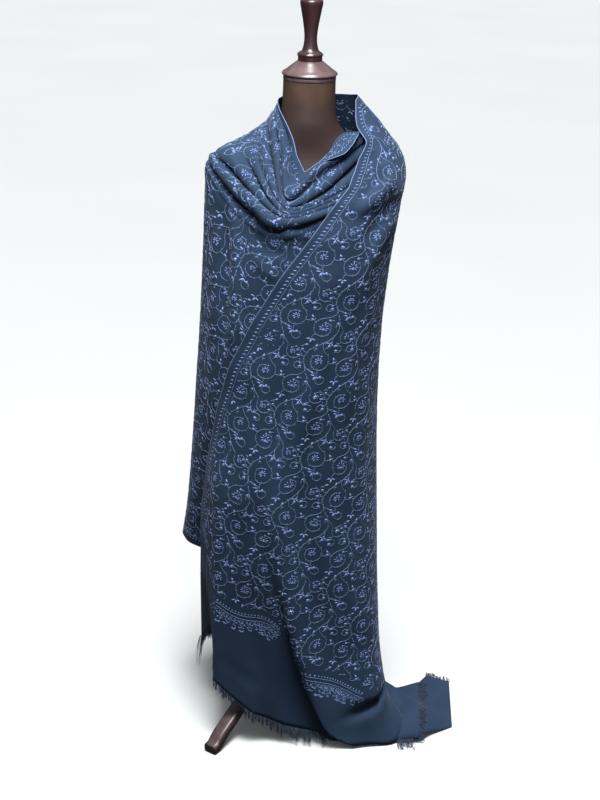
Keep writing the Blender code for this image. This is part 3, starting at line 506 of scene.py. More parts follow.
# Folds that hang down the front panel: for five rows from the thigh to the hem, where the
# fold lies across the front, how far it stands out, and how far it leans over to the left.
FOLD_ROWS = (12, 13, 14, 15, 16)
FRONT_FOLDS = (
    # name, width, places, heights, leans
    ("over-fold", 0.050, (-0.070, -0.050, -0.022, 0.022, 0.092),
     (0.003, 0.009, 0.014, 0.022, 0.016), (0.000, 0.004, 0.010, 0.026, 0.020)),
    ("valley", 0.045, (-0.115, -0.110, -0.106, -0.092, -0.055),
     (0.000, -0.005, -0.010, -0.013, -0.008), (0.0, 0.0, 0.0, 0.0, 0.0)),
    ("right ridge", 0.045, (0.060, 0.065, 0.075, 0.100, 0.140),
     (0.004, 0.006, 0.006, 0.004, 0.000), (0.0, 0.0, 0.0, 0.0, 0.0)),
)
# Flutes of the hem behind: place round the back from side to side, width, depth at the hem.
BACK_FLUTES = (
    (0.16, 0.080, 0.018), (0.34, 0.080, 0.024), (0.54, 0.090, 0.020), (0.74, 0.080, 0.022),
)
# How the cloth lies over the front right leg: distance above it, beside it, and the run-out.
LEG_COVER, LEG_SIDE, LEG_COVER_REACH = 0.0075, 0.006, 0.080
# The pocket between the end border and the roll on the floor, at the right of the front.
POCKET_SPAN, POCKET_EDGE = (0.110, 0.206), (0.058, 0.098)      # x, height of its lower edge
POCKET_REACH, POCKET_DEPTH = (0.045, 0.012), 0.036
POCKET_LIP, POCKET_RUN_IN = 0.008, 0.065      # below its edge, and from its left end
LEG_LIFTS = (1.0, 0.75, 0.5, 0.3, 0.15, 0.0)  # share of the lift, row by row above the hem


# %% Sizes shared with the solids
THREAD = 0.0009          # thickness of the twill
LEG_AZIMUTH, LEG_WIDTH = 335.0, 0.033      # of the front right leg: degrees from +X, metres
LEG_STATIONS = (
    # reach from the pole, height, thickness
    (0.0293, 0.2250, 0.0420), (0.0500, 0.2190, 0.0380), (0.0800, 0.1930, 0.0320),
    (0.1150, 0.1500, 0.0290), (0.1500, 0.1110, 0.0270), (0.1850, 0.0800, 0.0260),
    (0.2150, 0.0610, 0.0250), (0.2450, 0.0450, 0.0250), (0.2700, 0.0320, 0.0250),
    (0.2860, 0.0210, 0.0250), (0.2970, 0.0115, 0.0250), (0.3130, 0.0105, 0.0220),
)
CHEST_STEPS = (4, 16, 12, 16, 12)
BACK_STEPS = (14, 16, 16, 14)
PANEL_STEPS = (16, 24, 24, 16, 12)
ROW_STEPS = (7,) * 16 + (4,) * 6 + (5,) * 4 + (6,) * 2 + (10,) * 4
print("knots of the drape:", len(CHEST_ROWS), "rows on the chest,", len(PANEL_ROWS), "in front")


# %% Curves, humps and ramps
def smooth_curve(knots, steps):
    """Points along smooth curves through knots[0], knots[1], ...; a knot may be a row of points."""
    knots = np.asarray(knots, float)
    chords = np.maximum(np.linalg.norm(np.diff(knots, axis=0), axis=-1), 1e-9)[..., None]
    slopes = np.diff(knots, axis=0) / chords
    tangents = np.empty_like(knots)
    tangents[0], tangents[-1] = slopes[0], slopes[-1]
    before, after = chords[:-1], chords[1:]
    tangents[1:-1] = (slopes[:-1] * after + slopes[1:] * before) / (before + after)
    points = []
    for i, count in enumerate(steps):
        for t in np.arange(count) / count:
            a, b = 2 * t**3 - 3 * t**2 + 1, t**3 - 2 * t**2 + t
            c, d = -2 * t**3 + 3 * t**2, t**3 - t**2
            points.append(a * knots[i] + b * chords[i] * tangents[i]
                          + c * knots[i + 1] + d * chords[i] * tangents[i + 1])
    points.append(knots[-1])
    return np.array(points)


def bump(distance, width):
    """A soft hump of height 1 in the middle that ends at the given distance."""
    reach = np.clip(np.abs(distance) / width, 0.0, 1.0)
    return (1.0 - reach**2) ** 2


def ramp(value, start, end):
    t = np.clip((value - start) / (end - start), 0.0, 1.0)
    return t * t * (3.0 - 2.0 * t)


def table_column(table, key, column):
    """A column of a table read at a height, between its rows, which run downwards."""
    heights, values = np.array([(row[0], row[column]) for row in table[::-1]]).T
    return np.interp(key, heights, values)


def line_lengths(grid, axis=0):
    """Distance along the grid's own lines from the first point to every point."""
    total = np.cumsum(np.linalg.norm(np.diff(grid, axis=axis), axis=-1), axis=axis)
    start = np.zeros_like(np.take(total, [0], axis=axis))
    return np.concatenate((start, total), axis=axis)


def unit(vectors):
    """Vectors of length 1, row by row."""
    return vectors / np.maximum(np.linalg.norm(vectors, axis=-1), 1e-12)[..., None]


def surface_normals(grid):
    return unit(np.cross(np.gradient(grid, axis=1), np.gradient(grid, axis=0)))


def with_rows_between(rows, middles):
    """The rows with one more between each row and the next."""
    return np.array([row for pair in zip(rows, middles) for row in pair] + [rows[-1]])


# %% The knots of every row
def trough_row(row, following, troughs):
    """The knots of the row between two rows of the chest, sunk by the row's troughs."""
    middle = 0.5 * (row + following)
    rise, low, fall = troughs
    for knot, depth in enumerate((0.2 * rise, rise, 0.5 * (rise + low), low, fall, 0.0)):
        inwards = -middle[knot] * (1.0, 1.0, 0.0)
        middle[knot] += inwards / np.linalg.norm(inwards) * depth
    return middle


def chest_knots():
    rows = [np.array([*knots, (side[0], 0.0, side[1])])
            for _, *knots, side, _, _, _ in CHEST_ROWS]
    middles = [trough_row(row, following, table[-3:])
               for row, following, table in zip(rows, rows[1:], CHEST_ROWS)]
    return with_rows_between(rows, middles)


def panel_knots():
    rows = []
    for number, (side_z, edge, *plan) in enumerate(PANEL_ROWS):
        places = np.array([edge[:2], *plan, (table_column(RIGHT_SIDE, side_z, 1), 0.0)])
        weight = ramp(number, HEM_STARTS, len(PANEL_ROWS) - 1)
        heights = edge[2] + (side_z - edge[2]) * PANEL_SHARES + weight * np.array(HEM_LIFT)
        rows.append(np.column_stack((places, heights)))
    knots = with_rows_between(rows, [0.5 * (row + following)
                                     for row, following in zip(rows, rows[1:])])
    knots[:, 5, 0] = table_column(RIGHT_SIDE, knots[:, 5, 2], 1)
    return knots


def back_knots(left, right):
    """Three knots round the back between the side points of a row."""
    drop = SHOULDER_DROP * ramp(1.385, left[2], 1.330) * ramp(left[2], 0.400, 1.000)
    z_left = 0.75 * left[2] + 0.25 * right[2] - drop
    z_middle = 0.5 * (left[2] + right[2]) - drop
    z_right = 0.25 * left[2] + 0.75 * right[2] - drop
    return np.array((
        (-table_column(BACK_SECTIONS, z_left, 1), table_column(BACK_SECTIONS, z_left, 3), z_left),
        (0.5 * (left[0] + right[0]), table_column(BACK_SECTIONS, z_middle, 4), z_middle),
        (table_column(BACK_SECTIONS, z_right, 2), table_column(BACK_SECTIONS, z_right, 3),
         z_right)))


# %% Hanging folds
EDGE_PUSH, EDGE_PUSH_AT, EDGE_PUSH_REACH, EDGE_PUSH_ENDS = 0.010, 1.330, 0.030, 0.05
LEFT = sum(CHEST_STEPS)                   # the column down the left side of the form
RIGHT = LEFT + sum(BACK_STEPS)            # the column down its right side
COARSE_ROW = np.concatenate([np.arange(count) / count + i for i, count in enumerate(ROW_STEPS)]
                            + [[len(ROW_STEPS)]])
FRONT_FROM = (0.02, 0.10)      # how far before the pole the folds of the front begin


def fold_front(grid):
    """Adds the hanging folds and the pocket to the front stretch."""
    for number, row in zip(COARSE_ROW / 2, grid):
        panel = row[RIGHT:]
        on_front = ramp(-panel[:, 1], *FRONT_FROM)
        shift_x, shift_y = np.zeros(len(panel)), np.zeros(len(panel))
        for _, width, *fold in FRONT_FOLDS:
            place, height, lean = (np.interp(number, FOLD_ROWS, values) for values in fold)
            shape = bump(panel[:, 0] - (place + lean), width) * on_front
            shape *= ramp(number, FOLD_ROWS[0] - 2, FOLD_ROWS[0])
            shift_y -= shape * height
            shift_x -= shape * lean
        above = panel[:, 2] - np.interp(panel[:, 0], POCKET_SPAN, POCKET_EDGE)
        reach = np.interp(panel[:, 0], POCKET_SPAN, POCKET_REACH)
        pocket = np.where(above > 0.0, 1.0 - ramp(above / reach, 0.0, 1.0),
                          ramp(above, -POCKET_LIP, 0.0))
        pocket *= on_front * ramp(panel[:, 0], POCKET_SPAN[0], POCKET_SPAN[0] + POCKET_RUN_IN)
        shift_y += POCKET_DEPTH * pocket
        panel[:, 0] += shift_x
        panel[:, 1] += shift_y


def flute_back(grid):
    """Adds the flutes of the hem behind, which run out upwards."""
    for level, row in zip(COARSE_ROW / len(ROW_STEPS), grid):
        back = row[LEFT:RIGHT + 1]
        place = np.linspace(0.0, 1.0, len(back))
        depth = sum(depth * bump(place - middle, width)
                    for middle, width, depth in BACK_FLUTES) * ramp(level, 0.45, 1.0)
        back[:, :2] += unit(back[:, :2]) * depth[:, None]


def push_leading_edge(grid):
    """The turned edge pushes the leading edge of the front aside where they touch."""
    panel = grid[:, RIGHT:]
    from_edge = np.linalg.norm(panel - panel[:, -1:], axis=-1)
    push = EDGE_PUSH * bump(panel[..., 2] - EDGE_PUSH_AT, EDGE_PUSH_REACH)
    panel[..., 0] += push * (1.0 - ramp(from_edge, 0.0, EDGE_PUSH_ENDS))


def leg_top(x, y):
    """Height that the cloth keeps over the front right leg at a place on the floor."""
    angle = math.radians(LEG_AZIMUTH)
    along = x * math.cos(angle) + y * math.sin(angle)
    across = abs(-x * math.sin(angle) + y * math.cos(angle))
    reach = [station[0] for station in LEG_STATIONS]
    tops = [station[1] + 0.5 * station[2] for station in LEG_STATIONS]
    crest = np.interp(along, reach, tops) + LEG_COVER
    past_toe = max(along - reach[-1], 0.0)
    side = max(across - 0.5 * LEG_WIDTH - LEG_SIDE, 0.0)
    return crest * (1.0 - ramp(math.hypot(side, past_toe), 0.0, LEG_COVER_REACH))


def lift_over_leg(grid):
    """Lifts the last rows of the front stretch's side where the hem lies over a leg."""
    for column in range(RIGHT, RIGHT + PANEL_STEPS[0] + 1):
        hem = grid[-1, column]
        lift = max(leg_top(hem[0], hem[1]) - hem[2], 0.0)
        grid[:, column, 2] += lift * np.interp(COARSE_ROW[-1] - COARSE_ROW,
                                               range(len(LEG_LIFTS)), LEG_LIFTS)


# %% The fold laid over at the front
# The front stretch laps over itself low down: the part at its right lies on the part at its
# left. The lap follows a slanting line (height, x); its edge is crisp and the cloth turns
# back under it before it goes on to the left.
LAP_LINE = ((0.012, 0.128), (0.022, 0.108), (0.037, 0.088), (0.060, 0.071), (0.089, 0.056),
            (0.1535, 0.025), (0.222, 0.004), (0.290, -0.010), (0.3465, -0.021), (0.490, -0.036),
            (0.578, -0.052), (0.666, -0.064), (0.730, -0.072))
LAP_HEIGHT, LAP_DEPTH, LAP_UNDER = 0.007, 0.014, 0.0085
LAP_FROM, LAP_FULL = 0.430, 0.200         # heights where the lap begins and where it is full
LAP_SOFT, LAP_EDGE = 0.035, (0.0, 0.006)  # how far the raised part runs out, right and left
LAP_SINK, LAP_RISE = (0.001, 0.009), (0.020, 0.110)      # where the cloth beside it sinks, rises
LAP_TURN, LAP_TURN_ENDS, LAP_PULL = 0.009, 0.045, 1.9    # where it is turned under, and how far
LAP_DENSITY, LAP_DENSE_AT, LAP_DENSE_REACH = 4.0, 0.006, 0.020      # the columns beside the lap
CREASE_STRENGTH, CREASE_FROM, CREASE_FULL = 0.85, 0.900, 0.600      # the pressed turn, heights
POINT_STRENGTH, POINT_ROWS = 0.9, 14
RIDGE = RIGHT + sum(PANEL_STEPS[:3])      # the column where the front turns back at its left


def lap_place(heights):
    return np.interp(heights, *np.array(LAP_LINE).T)


def lap_strength(heights):
    return ramp(heights, LAP_FROM, LAP_FULL)


def draw_columns_to_lap(grid):
    """Moves the columns of the front closer together where the lap is, to make it crisp."""
    first = RIGHT + PANEL_STEPS[0]
    for row in range(int(grid.shape[0] * 0.60), grid.shape[0]):
        line = grid[row, first:RIDGE + 1].copy()
        total = line_lengths(line)
        from_lap = line[:, 0] - lap_place(line[:, 2])
        middle = float(np.interp(0.0, -from_lap, total))
        strength = float(lap_strength(np.interp(middle, total, line[:, 2])))
        fine = np.linspace(0.0, total[-1], 400)
        density = 1.0 + LAP_DENSITY * strength \
            * np.exp(-((fine - middle - LAP_DENSE_AT) / LAP_DENSE_REACH) ** 2)
        weight = np.concatenate(([0.0], np.cumsum(0.5 * (density[1:] + density[:-1]))))
        places = np.interp(np.linspace(0.0, weight[-1], len(line)), weight, fine)
        for axis in range(3):
            grid[row, first:RIDGE + 1, axis] = np.interp(places, total, line[:, axis])


def lay_lap(grid):
    """Lifts the cloth at the right of the lap's line and turns it under at the left."""
    front = grid[:, RIGHT:RIDGE + 1]
    left_of = lap_place(front[..., 2]) - front[..., 0]
    strength = lap_strength(front[..., 2])
    raised = np.where(left_of < 0.0, np.exp(left_of / LAP_SOFT), 1.0 - ramp(left_of, *LAP_EDGE))
    sunk = ramp(left_of, *LAP_SINK) * (1.0 - ramp(left_of, *LAP_RISE))
    under = np.where(left_of < LAP_TURN, np.maximum(left_of, 0.0) / LAP_TURN,
                     1.0 - ramp(left_of, LAP_TURN, LAP_TURN_ENDS))
    front[..., 1] += strength * (LAP_DEPTH * sunk - LAP_HEIGHT * raised)
    front[..., 0] += strength * LAP_PULL * LAP_UNDER * under


def straighten(grid, row, column, reach, strength, fade=1.0):
    """Draws the cloth on both sides of a point of a row towards straight lines."""
    point = grid[row, column].copy()
    for side in (-1, 1):
        far = grid[row, column + side * reach].copy()
        for step in range(1, reach):
            here = grid[row, column + side * step]
            here += (point + (far - point) * step / reach - here) * strength * fade


def crisp_turn(grid):
    """The front turns back at its left along a pressed crease, not along a round bend."""
    for row in range(grid.shape[0]):
        strength = CREASE_STRENGTH * float(ramp(grid[row, RIDGE, 2], CREASE_FROM, CREASE_FULL))
        if strength > 0.0:
            straighten(grid, row, RIDGE, 10, strength)


def pointed_neckline(grid):
    """The two sides of the neckline meet in a point, not in a round bend."""
    for row in range(POINT_ROWS):
        straighten(grid, row, sum(CHEST_STEPS[:3]), 9, POINT_STRENGTH, 1.0 - row / POINT_ROWS)


# Where the shoulder's line is corrected, how wide, and by how much it is raised.
SHOULDER_LINE = ((-0.148, 0.026, 0.009), (-0.086, 0.020, -0.006))
SHOULDER_HEIGHTS = (1.190, 1.280)         # it is corrected above the first, fully at the second
# Where the corner runs out over the floor: x, distance to the front, and for its two stages the
# height where the stage begins and its reach.
SPREAD_X, SPREAD_FRONT = (0.090, 0.175), (0.090, 0.160)
SPREAD_LOW, SPREAD_LOWEST = (0.190, 0.014), (0.055, 0.022)


def set_shoulder_line(grid):
    for where, width, raised in SHOULDER_LINE:
        near = np.exp(-((grid[..., 0] - where) / width) ** 2)
        grid[..., 2] += raised * near * ramp(grid[..., 2], *SHOULDER_HEIGHTS)


def spread_on_floor(grid):
    """Towards the floor the front's right corner runs out sideways instead of straight down."""
    part = grid[:, RIGHT:RIDGE]
    where = ramp(part[..., 0], *SPREAD_X) * ramp(-part[..., 1], *SPREAD_FRONT)
    low, lowest = (np.clip(1.0 - part[..., 2] / stage[0], 0.0, 1.0)
                   for stage in (SPREAD_LOW, SPREAD_LOWEST))
    part[..., 0] += where * (SPREAD_LOW[1] * low + SPREAD_LOWEST[1] * lowest**2)


# %% Deep folds of the cowl
# How deep the cloth sinks in the valley below each of the upper folds, at the knots of the
# chest from the right end to the left side line. A valley is narrow and its ridges are round.
VALLEYS = (
    # end, rise, slope, low, fall, side
    (0.002, 0.008, 0.005, 0.004, 0.012, 0.007),
    (0.004, 0.018, 0.012, 0.005, 0.016, 0.008),
    (0.009, 0.020, 0.014, 0.006, 0.016, 0.007),
    (0.009, 0.018, 0.013, 0.007, 0.016, 0.006),
    (0.007, 0.013, 0.011, 0.009, 0.014, 0.005),
    (0.005, 0.011, 0.010, 0.010, 0.014, 0.007),
    (0.003, 0.014, 0.018, 0.018, 0.014, 0.004),
)
VALLEY_KNOTS = np.concatenate(([0], np.cumsum(CHEST_STEPS)))
CLEAR_OF_FORM = 0.0030
RIDGE_SHARE, RIDGE_DROOP = 0.35, 0.30
RIDGE_ROUND, DROOP_AT, DROOP_REACH = 0.75, 0.12, 0.30      # the fold's profile
RAY = 0.1                                 # how far the form is looked for


def form_tree():
    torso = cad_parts["form_torso"].data
    points = [vertex.co - POLE for vertex in torso.vertices]
    return BVHTree.FromPolygons(points, [tuple(face.vertices) for face in torso.polygons])


def deepen_cowl(grid):
    """Turns the shallow waves of the chest into round folds with narrow valleys."""
    normals, tree, level = surface_normals(grid), form_tree(), COARSE_ROW / 2.0
    for column in range(LEFT + BACK_STEPS[0]):
        fade = 1.0 if column < LEFT else 1.0 - (column - LEFT) / BACK_STEPS[0]
        for row, here in enumerate(level):
            if here >= len(VALLEYS):
                break
            depth = np.interp(min(column, LEFT), VALLEY_KNOTS, VALLEYS[int(here)]) * fade
            phase = here - int(here)
            wave = 1.0 - abs(math.cos(math.pi * phase)) ** RIDGE_ROUND
            point, normal = grid[row, column], normals[row, column]
            push = depth * (RIDGE_SHARE - wave)
            if push < 0.0:
                hit = tree.ray_cast(Vector(point), Vector(-normal), RAY)
                room = RAY if hit[3] is None else hit[3] - CLEAR_OF_FORM
                push = -min(-push, max(room, 0.0))
            point += normal * push
            point[2] -= bump(phase - DROOP_AT, DROOP_REACH) * depth * RIDGE_DROOP


# %% The grid of the whole winding
def winding_cloth():
    rows = []
    for chest_row, panel_row in zip(chest_knots(), panel_knots()):
        knots = np.vstack((chest_row, back_knots(chest_row[-1], panel_row[-1]), panel_row[::-1]))
        rows.append(smooth_curve(knots, CHEST_STEPS + BACK_STEPS + PANEL_STEPS))
    grid = smooth_curve(rows, ROW_STEPS)
    for shape in (deepen_cowl, pointed_neckline, set_shoulder_line, fold_front,
                  draw_columns_to_lap, lay_lap, crisp_turn, spread_on_floor, flute_back,
                  push_leading_edge, lift_over_leg):
        shape(grid)
    return grid


GRID = winding_cloth()
print("cloth grid:", GRID.shape[0], "rows by", GRID.shape[1], "columns")

# %% [markdown]
# ### Creases
#
# Wool that hangs from a shoulder also has long soft creases. Each crease is a line on the
# front or back of the cloth; points near the line are pushed out or drawn in, most in the
# middle of the crease and fading at its ends.

# %% Creases, listed one by one
CREASES = (
    # side, points (x, z) along the crease, half width, height
    ("front", ((0.185, 1.262), (0.140, 1.235), (0.090, 1.190)), 0.020, 0.0090),
    ("front", ((0.192, 1.225), (0.150, 1.190), (0.110, 1.130)), 0.022, -0.0080),
    ("front", ((0.186, 1.190), (0.150, 1.140), (0.120, 1.070)), 0.020, 0.0060),
    ("front", ((0.150, 1.300), (0.165, 1.270), (0.175, 1.230)), 0.016, 0.0050),
    ("front", ((-0.150, 1.255), (-0.138, 1.130), (-0.138, 0.960), (-0.150, 0.800)), 0.013, 0.0080),
    ("front", ((-0.168, 1.240), (-0.158, 1.080), (-0.165, 0.860)), 0.013, -0.0060),
    ("front", ((-0.185, 1.200), (-0.180, 1.050), (-0.186, 0.850)), 0.010, 0.0040),
    ("front", ((-0.159, 1.288), (-0.136, 1.255), (-0.105, 1.219), (-0.072, 1.180),
               (-0.035, 1.160), (0.000, 1.160), (0.024, 1.166)), 0.015, 0.0120),
    ("front", ((-0.120, 1.165), (-0.075, 1.125), (-0.020, 1.110)), 0.016, -0.0045),
    ("front", ((-0.110, 1.120), (-0.075, 1.078), (-0.030, 1.060)), 0.014, 0.0040),
    ("front", ((0.150, 1.050), (0.105, 0.900), (0.095, 0.700)), 0.024, 0.0050),
    ("front", ((0.060, 1.000), (0.020, 0.820), (-0.010, 0.640)), 0.026, 0.0060),
    ("front", ((0.170, 0.900), (0.155, 0.700), (0.160, 0.450)), 0.018, -0.0050),
    ("front", ((-0.060, 0.900), (-0.100, 0.700), (-0.125, 0.450)), 0.020, 0.0060),
    ("front", ((-0.020, 0.880), (-0.055, 0.680), (-0.085, 0.480)), 0.020, -0.0060),
    ("front", ((0.110, 0.560), (0.120, 0.380), (0.150, 0.220)), 0.022, 0.0045),
    ("back", ((-0.110, 1.270), (-0.080, 1.050), (-0.090, 0.700)), 0.030, 0.0050),
    ("back", ((0.120, 1.250), (0.070, 1.000), (0.050, 0.650)), 0.032, 0.0055),
    ("back", ((0.000, 1.330), (-0.010, 1.150), (0.010, 0.900)), 0.028, -0.0040),
    ("back", ((0.060, 1.300), (0.110, 1.120), (0.125, 0.800)), 0.024, -0.0040),
)


# Coarse rows between which creases begin below the cowl and fade out above the hem, and how
# many columns the leading edge stays free of them.
CREASES_BEGIN, CREASES_END, CREASE_FREE = (9.0, 14.0), (32.0, 30.0), 6.0


def crease_shift(points, outwards, side, line, width, height):
    """How far a crease moves each point of the grid."""
    line = np.array(line)
    here = points[..., (0, 2)]
    best = np.full(here.shape[:2], np.inf)
    along = np.zeros(here.shape[:2])
    lengths = line_lengths(line)
    for i in range(len(line) - 1):
        run = line[i + 1] - line[i]
        share = np.clip(((here - line[i]) @ run) / (run @ run), 0.0, 1.0)
        gap = np.linalg.norm(here - line[i] - share[..., None] * run, axis=-1)
        nearer = gap < best
        best = np.where(nearer, gap, best)
        along = np.where(nearer, (lengths[i] + share * np.linalg.norm(run)) / lengths[-1], along)
    faces_this_side = outwards[..., 1] < 0.0 if side == "front" else outwards[..., 1] > 0.0
    fade = ramp(along, 0.0, 0.3) * ramp(along, 1.0, 0.6)
    return height * bump(best, width) * fade * faces_this_side


def add_creases(grid):
    normals = surface_normals(grid)
    rim = np.minimum(1.0, np.abs(np.arange(grid.shape[1]) - grid.shape[1] + 1) / CREASE_FREE)
    below_cowl = ramp(COARSE_ROW, *CREASES_BEGIN)[:, None]
    total = np.zeros(grid.shape[:2])
    for side, line, width, height in CREASES:
        total += crease_shift(grid, normals, side, line, width, height)
    chest = np.arange(grid.shape[1]) < LEFT
    total *= np.where(chest[None, :], below_cowl, 1.0) * rim[None, :]
    hem = ramp(COARSE_ROW, *CREASES_END)[:, None]
    grid += normals * (total * hem)[..., None]


add_creases(GRID)
print("creases:", len(CREASES))
outward = (surface_normals(GRID) * GRID)[30:160, :, :2].sum(axis=-1)
print("share of normals that point outwards:", round(float((outward > 0).mean()), 3))

# %% [markdown]
# ### The shawl laid flat
#
# The needlework and the weave were made on the flat cloth, so each point of the drape needs
# its place on the flat shawl. Unwrapping by hand would need seams. Here the drape is pressed
# flat instead, as a tailor flattens a sleeve: a first guess with the right neighbours, and then
# many small rounds in which each triangle asks for its true shape, turned as it lies, and all
# corners settle between those wishes.

# %% Triangles of the drape, coarse enough to solve at once
PICK_ROWS = np.unique(np.concatenate((np.arange(0, 110, 4), np.linspace(112, 208, 13)))).astype(int)
PICK_COLUMNS = np.unique(np.concatenate((np.linspace(0, 60, 16), np.linspace(60, 120, 10),
                                         np.linspace(120, 212, 17)))).astype(int)
SIDES = ((0, 1), (1, 2), (2, 0))          # corners at the ends of each side of a triangle


def grid_faces(rows, columns):
    a = np.arange(rows * columns).reshape(rows, columns)
    return np.stack((a[:-1, :-1], a[1:, :-1], a[1:, 1:], a[:-1, 1:]), axis=-1).reshape(-1, 4)


def grid_triangles(rows, columns):
    faces = grid_faces(rows, columns)
    return np.concatenate((faces[:, (0, 1, 2)], faces[:, (0, 2, 3)]))


def own_plane(points, triangles):
    """Each triangle in its own plane: three places of two numbers."""
    a, b, c = (points[triangles[:, k]] for k in range(3))
    base = np.maximum(np.linalg.norm(b - a, axis=1), 1e-5)
    along = ((c - a) * (b - a)).sum(axis=1) / base
    height = -np.sqrt(np.maximum(((c - a) ** 2).sum(axis=1) - along**2, 1e-10))
    zero = np.zeros(len(base))
    return np.stack((np.column_stack((zero, zero)), np.column_stack((base, zero)),
                     np.column_stack((along, height))), axis=1)


def side_weights(plane):
    """How strongly each side of a triangle holds its length."""
    weights = []
    for i, j in SIDES:
        opposite = plane[:, 3 - i - j]
        first, second = plane[:, i] - opposite, plane[:, j] - opposite
        cross = np.abs(first[:, 0] * second[:, 1] - first[:, 1] * second[:, 0])
        weights.append(np.clip((first * second).sum(axis=1) / cross, 0.05, 4.0))
    return np.column_stack(weights)


# %% Pressing the drape flat
def rim_places(points):
    """Corners on the rim and where a first guess puts them: a straight edge and an arc."""
    rows, columns = points.shape[:2]
    number = np.arange(rows * columns).reshape(rows, columns)
    straight = np.concatenate((number[0], number[1:, -1]))
    round_rim = np.concatenate((number[-1, -2::-1], number[-2:0:-1, 0]))
    edge = line_lengths(points.reshape(-1, 3)[straight])
    edge -= edge[columns - 1]
    share = np.linspace(0.0, math.pi, len(round_rim) + 2)[1:-1]
    middle, reach = 0.5 * (edge[0] + edge[-1]), 0.5 * (edge[-1] - edge[0])
    arc = np.column_stack((middle + reach * np.cos(share), 0.7 * reach * np.sin(share)))
    return np.concatenate((straight, round_rim)), \
        np.vstack((np.column_stack((edge, np.zeros(len(edge)))), arc))


def net_matrix(count, triangles, weights):
    matrix = np.zeros((count, count))
    for k, (i, j) in enumerate(SIDES):
        i, j, w = triangles[:, i], triangles[:, j], weights[:, k]
        for place, share in (((i, j), -w), ((j, i), -w), ((i, i), w), ((j, j), w)):
            np.add.at(matrix, place, share)
    return matrix


def press_flat(points, rounds=160):
    """The flat places of a net of points, its triangles and their own planes."""
    count = points.shape[0] * points.shape[1]
    triangles = grid_triangles(*points.shape[:2])
    plane = own_plane(points.reshape(-1, 3), triangles)
    weights = side_weights(plane)
    rim, rim_spots = rim_places(points)
    inner = np.setdiff1d(np.arange(count), rim)
    even = net_matrix(count, triangles, np.ones_like(weights))
    places = np.zeros((count, 2))
    places[rim] = rim_spots
    places[inner] = np.linalg.solve(even[np.ix_(inner, inner)],
                                    -even[np.ix_(inner, rim)] @ rim_spots)
    matrix = net_matrix(count, triangles, weights)
    free = np.setdiff1d(np.arange(count), [points.shape[1] - 1])       # one corner stays
    inverse = np.linalg.inv(matrix[np.ix_(free, free)])
    own_sides = [plane[:, i] - plane[:, j] for i, j in SIDES]
    for _ in range(rounds):
        turned = np.zeros((len(triangles), 2, 2))
        for k, (i, j) in enumerate(SIDES):
            now = places[triangles[:, i]] - places[triangles[:, j]]
            turned += weights[:, k, None, None] * now[:, :, None] * own_sides[k][:, None, :]
        cos, sin = turned[:, 0, 0] + turned[:, 1, 1], turned[:, 1, 0] - turned[:, 0, 1]
        size = np.maximum(np.hypot(cos, sin), 1e-12)
        cos, sin = cos / size, sin / size
        wish = np.zeros((count, 2))
        for k, (i, j) in enumerate(SIDES):
            x, y = own_sides[k].T
            moved = weights[:, k, None] * np.column_stack((cos * x - sin * y, sin * x + cos * y))
            for axis in (0, 1):
                wish[:, axis] += np.bincount(triangles[:, i], moved[:, axis], count)
                wish[:, axis] -= np.bincount(triangles[:, j], moved[:, axis], count)
        places[free] = inverse @ wish[free]
    return places.reshape(*points.shape[:2], 2), triangles, plane


def lay_flat(grid):
    """Flat places of all points: along the long edge, and away from it."""
    points = grid[np.ix_(PICK_ROWS, PICK_COLUMNS)]
    layout, triangles, plane = press_flat(points)
    edge = layout[-1, -1] - layout[PICK_ROWS.searchsorted(100), -1]
    way = edge / np.linalg.norm(edge)
    layout = layout @ np.array(((way[0], -way[1]), (way[1], way[0])))
    flat, strain = layout.reshape(-1, 2), []
    for i, j in SIDES:
        now = np.linalg.norm(flat[triangles[:, i]] - flat[triangles[:, j]], axis=1)
        true = np.linalg.norm(plane[:, i] - plane[:, j], axis=1)
        strain.append(np.abs(now / np.maximum(true, 1e-4) - 1.0))
    print("pressed flat: typical stretch", round(float(np.median(strain)), 3),
          "and nine tenths under", round(float(np.quantile(strain, 0.9)), 3))
    columns, rows = np.arange(grid.shape[1]), np.arange(grid.shape[0])
    part = np.array([[np.interp(columns, PICK_COLUMNS, line[:, axis]) for axis in (0, 1)]
                     for line in layout])
    full = np.array([[np.interp(rows, PICK_ROWS, part[:, axis, c]) for axis in (0, 1)]
                     for c in columns])
    return full.transpose(2, 0, 1)


FLAT = lay_flat(GRID)
FLAT -= (FLAT[0, -1, 0], 0.0)
print("flat shawl: leading edge", round(float(FLAT[-1, -1, 0]), 3), "m long, width",
      round(float(FLAT[-1, LEFT, 1]), 3), "m at the left side")


# %% [markdown]
# ### The draped surface
#
# One surface serves the whole winding. It is a single layer of points given its thickness
# by a modifier, and it carries the flat places as a map for its weave.

# %% The draped shawl
def cloth_piece(name, grid, flat, *replaced):
    """A grid of points as one thin closed wall that carries its flat places as a map."""
    faces = grid_faces(*grid.shape[:2])
    piece = add_surface(name, grid.reshape(-1, 3), faces.tolist(), TWILL)
    layer = piece.data.uv_layers.new(name="flat")
    layer.data.foreach_set("uv", flat.reshape(-1, 2)[faces.reshape(-1)].reshape(-1))
    wall = piece.modifiers.new("thickness", "SOLIDIFY")
    wall.thickness, wall.offset = THREAD, 0.0
    apply_all(piece)
    piece.data.shade_smooth()
    return hand_over(piece, "shawl_twill", *replaced)


def own_map(grid):
    """The flat places of a small piece: the lengths of its own lines."""
    return np.stack((line_lengths(grid, 1), line_lengths(grid, 0)), axis=-1)


shawl = cloth_piece("shawl_cloth", GRID, FLAT,
                    "shawl_chest_wrap", "shawl_back_wrap", "shawl_front_panel")

# %% [markdown]
# ### The edge turned outwards at the neck
#
# At the form's left side of the neck the shawl's upper edge folds over outwards like a small
# lapel. It is made from the first row of the winding, so it starts exactly on the fold.

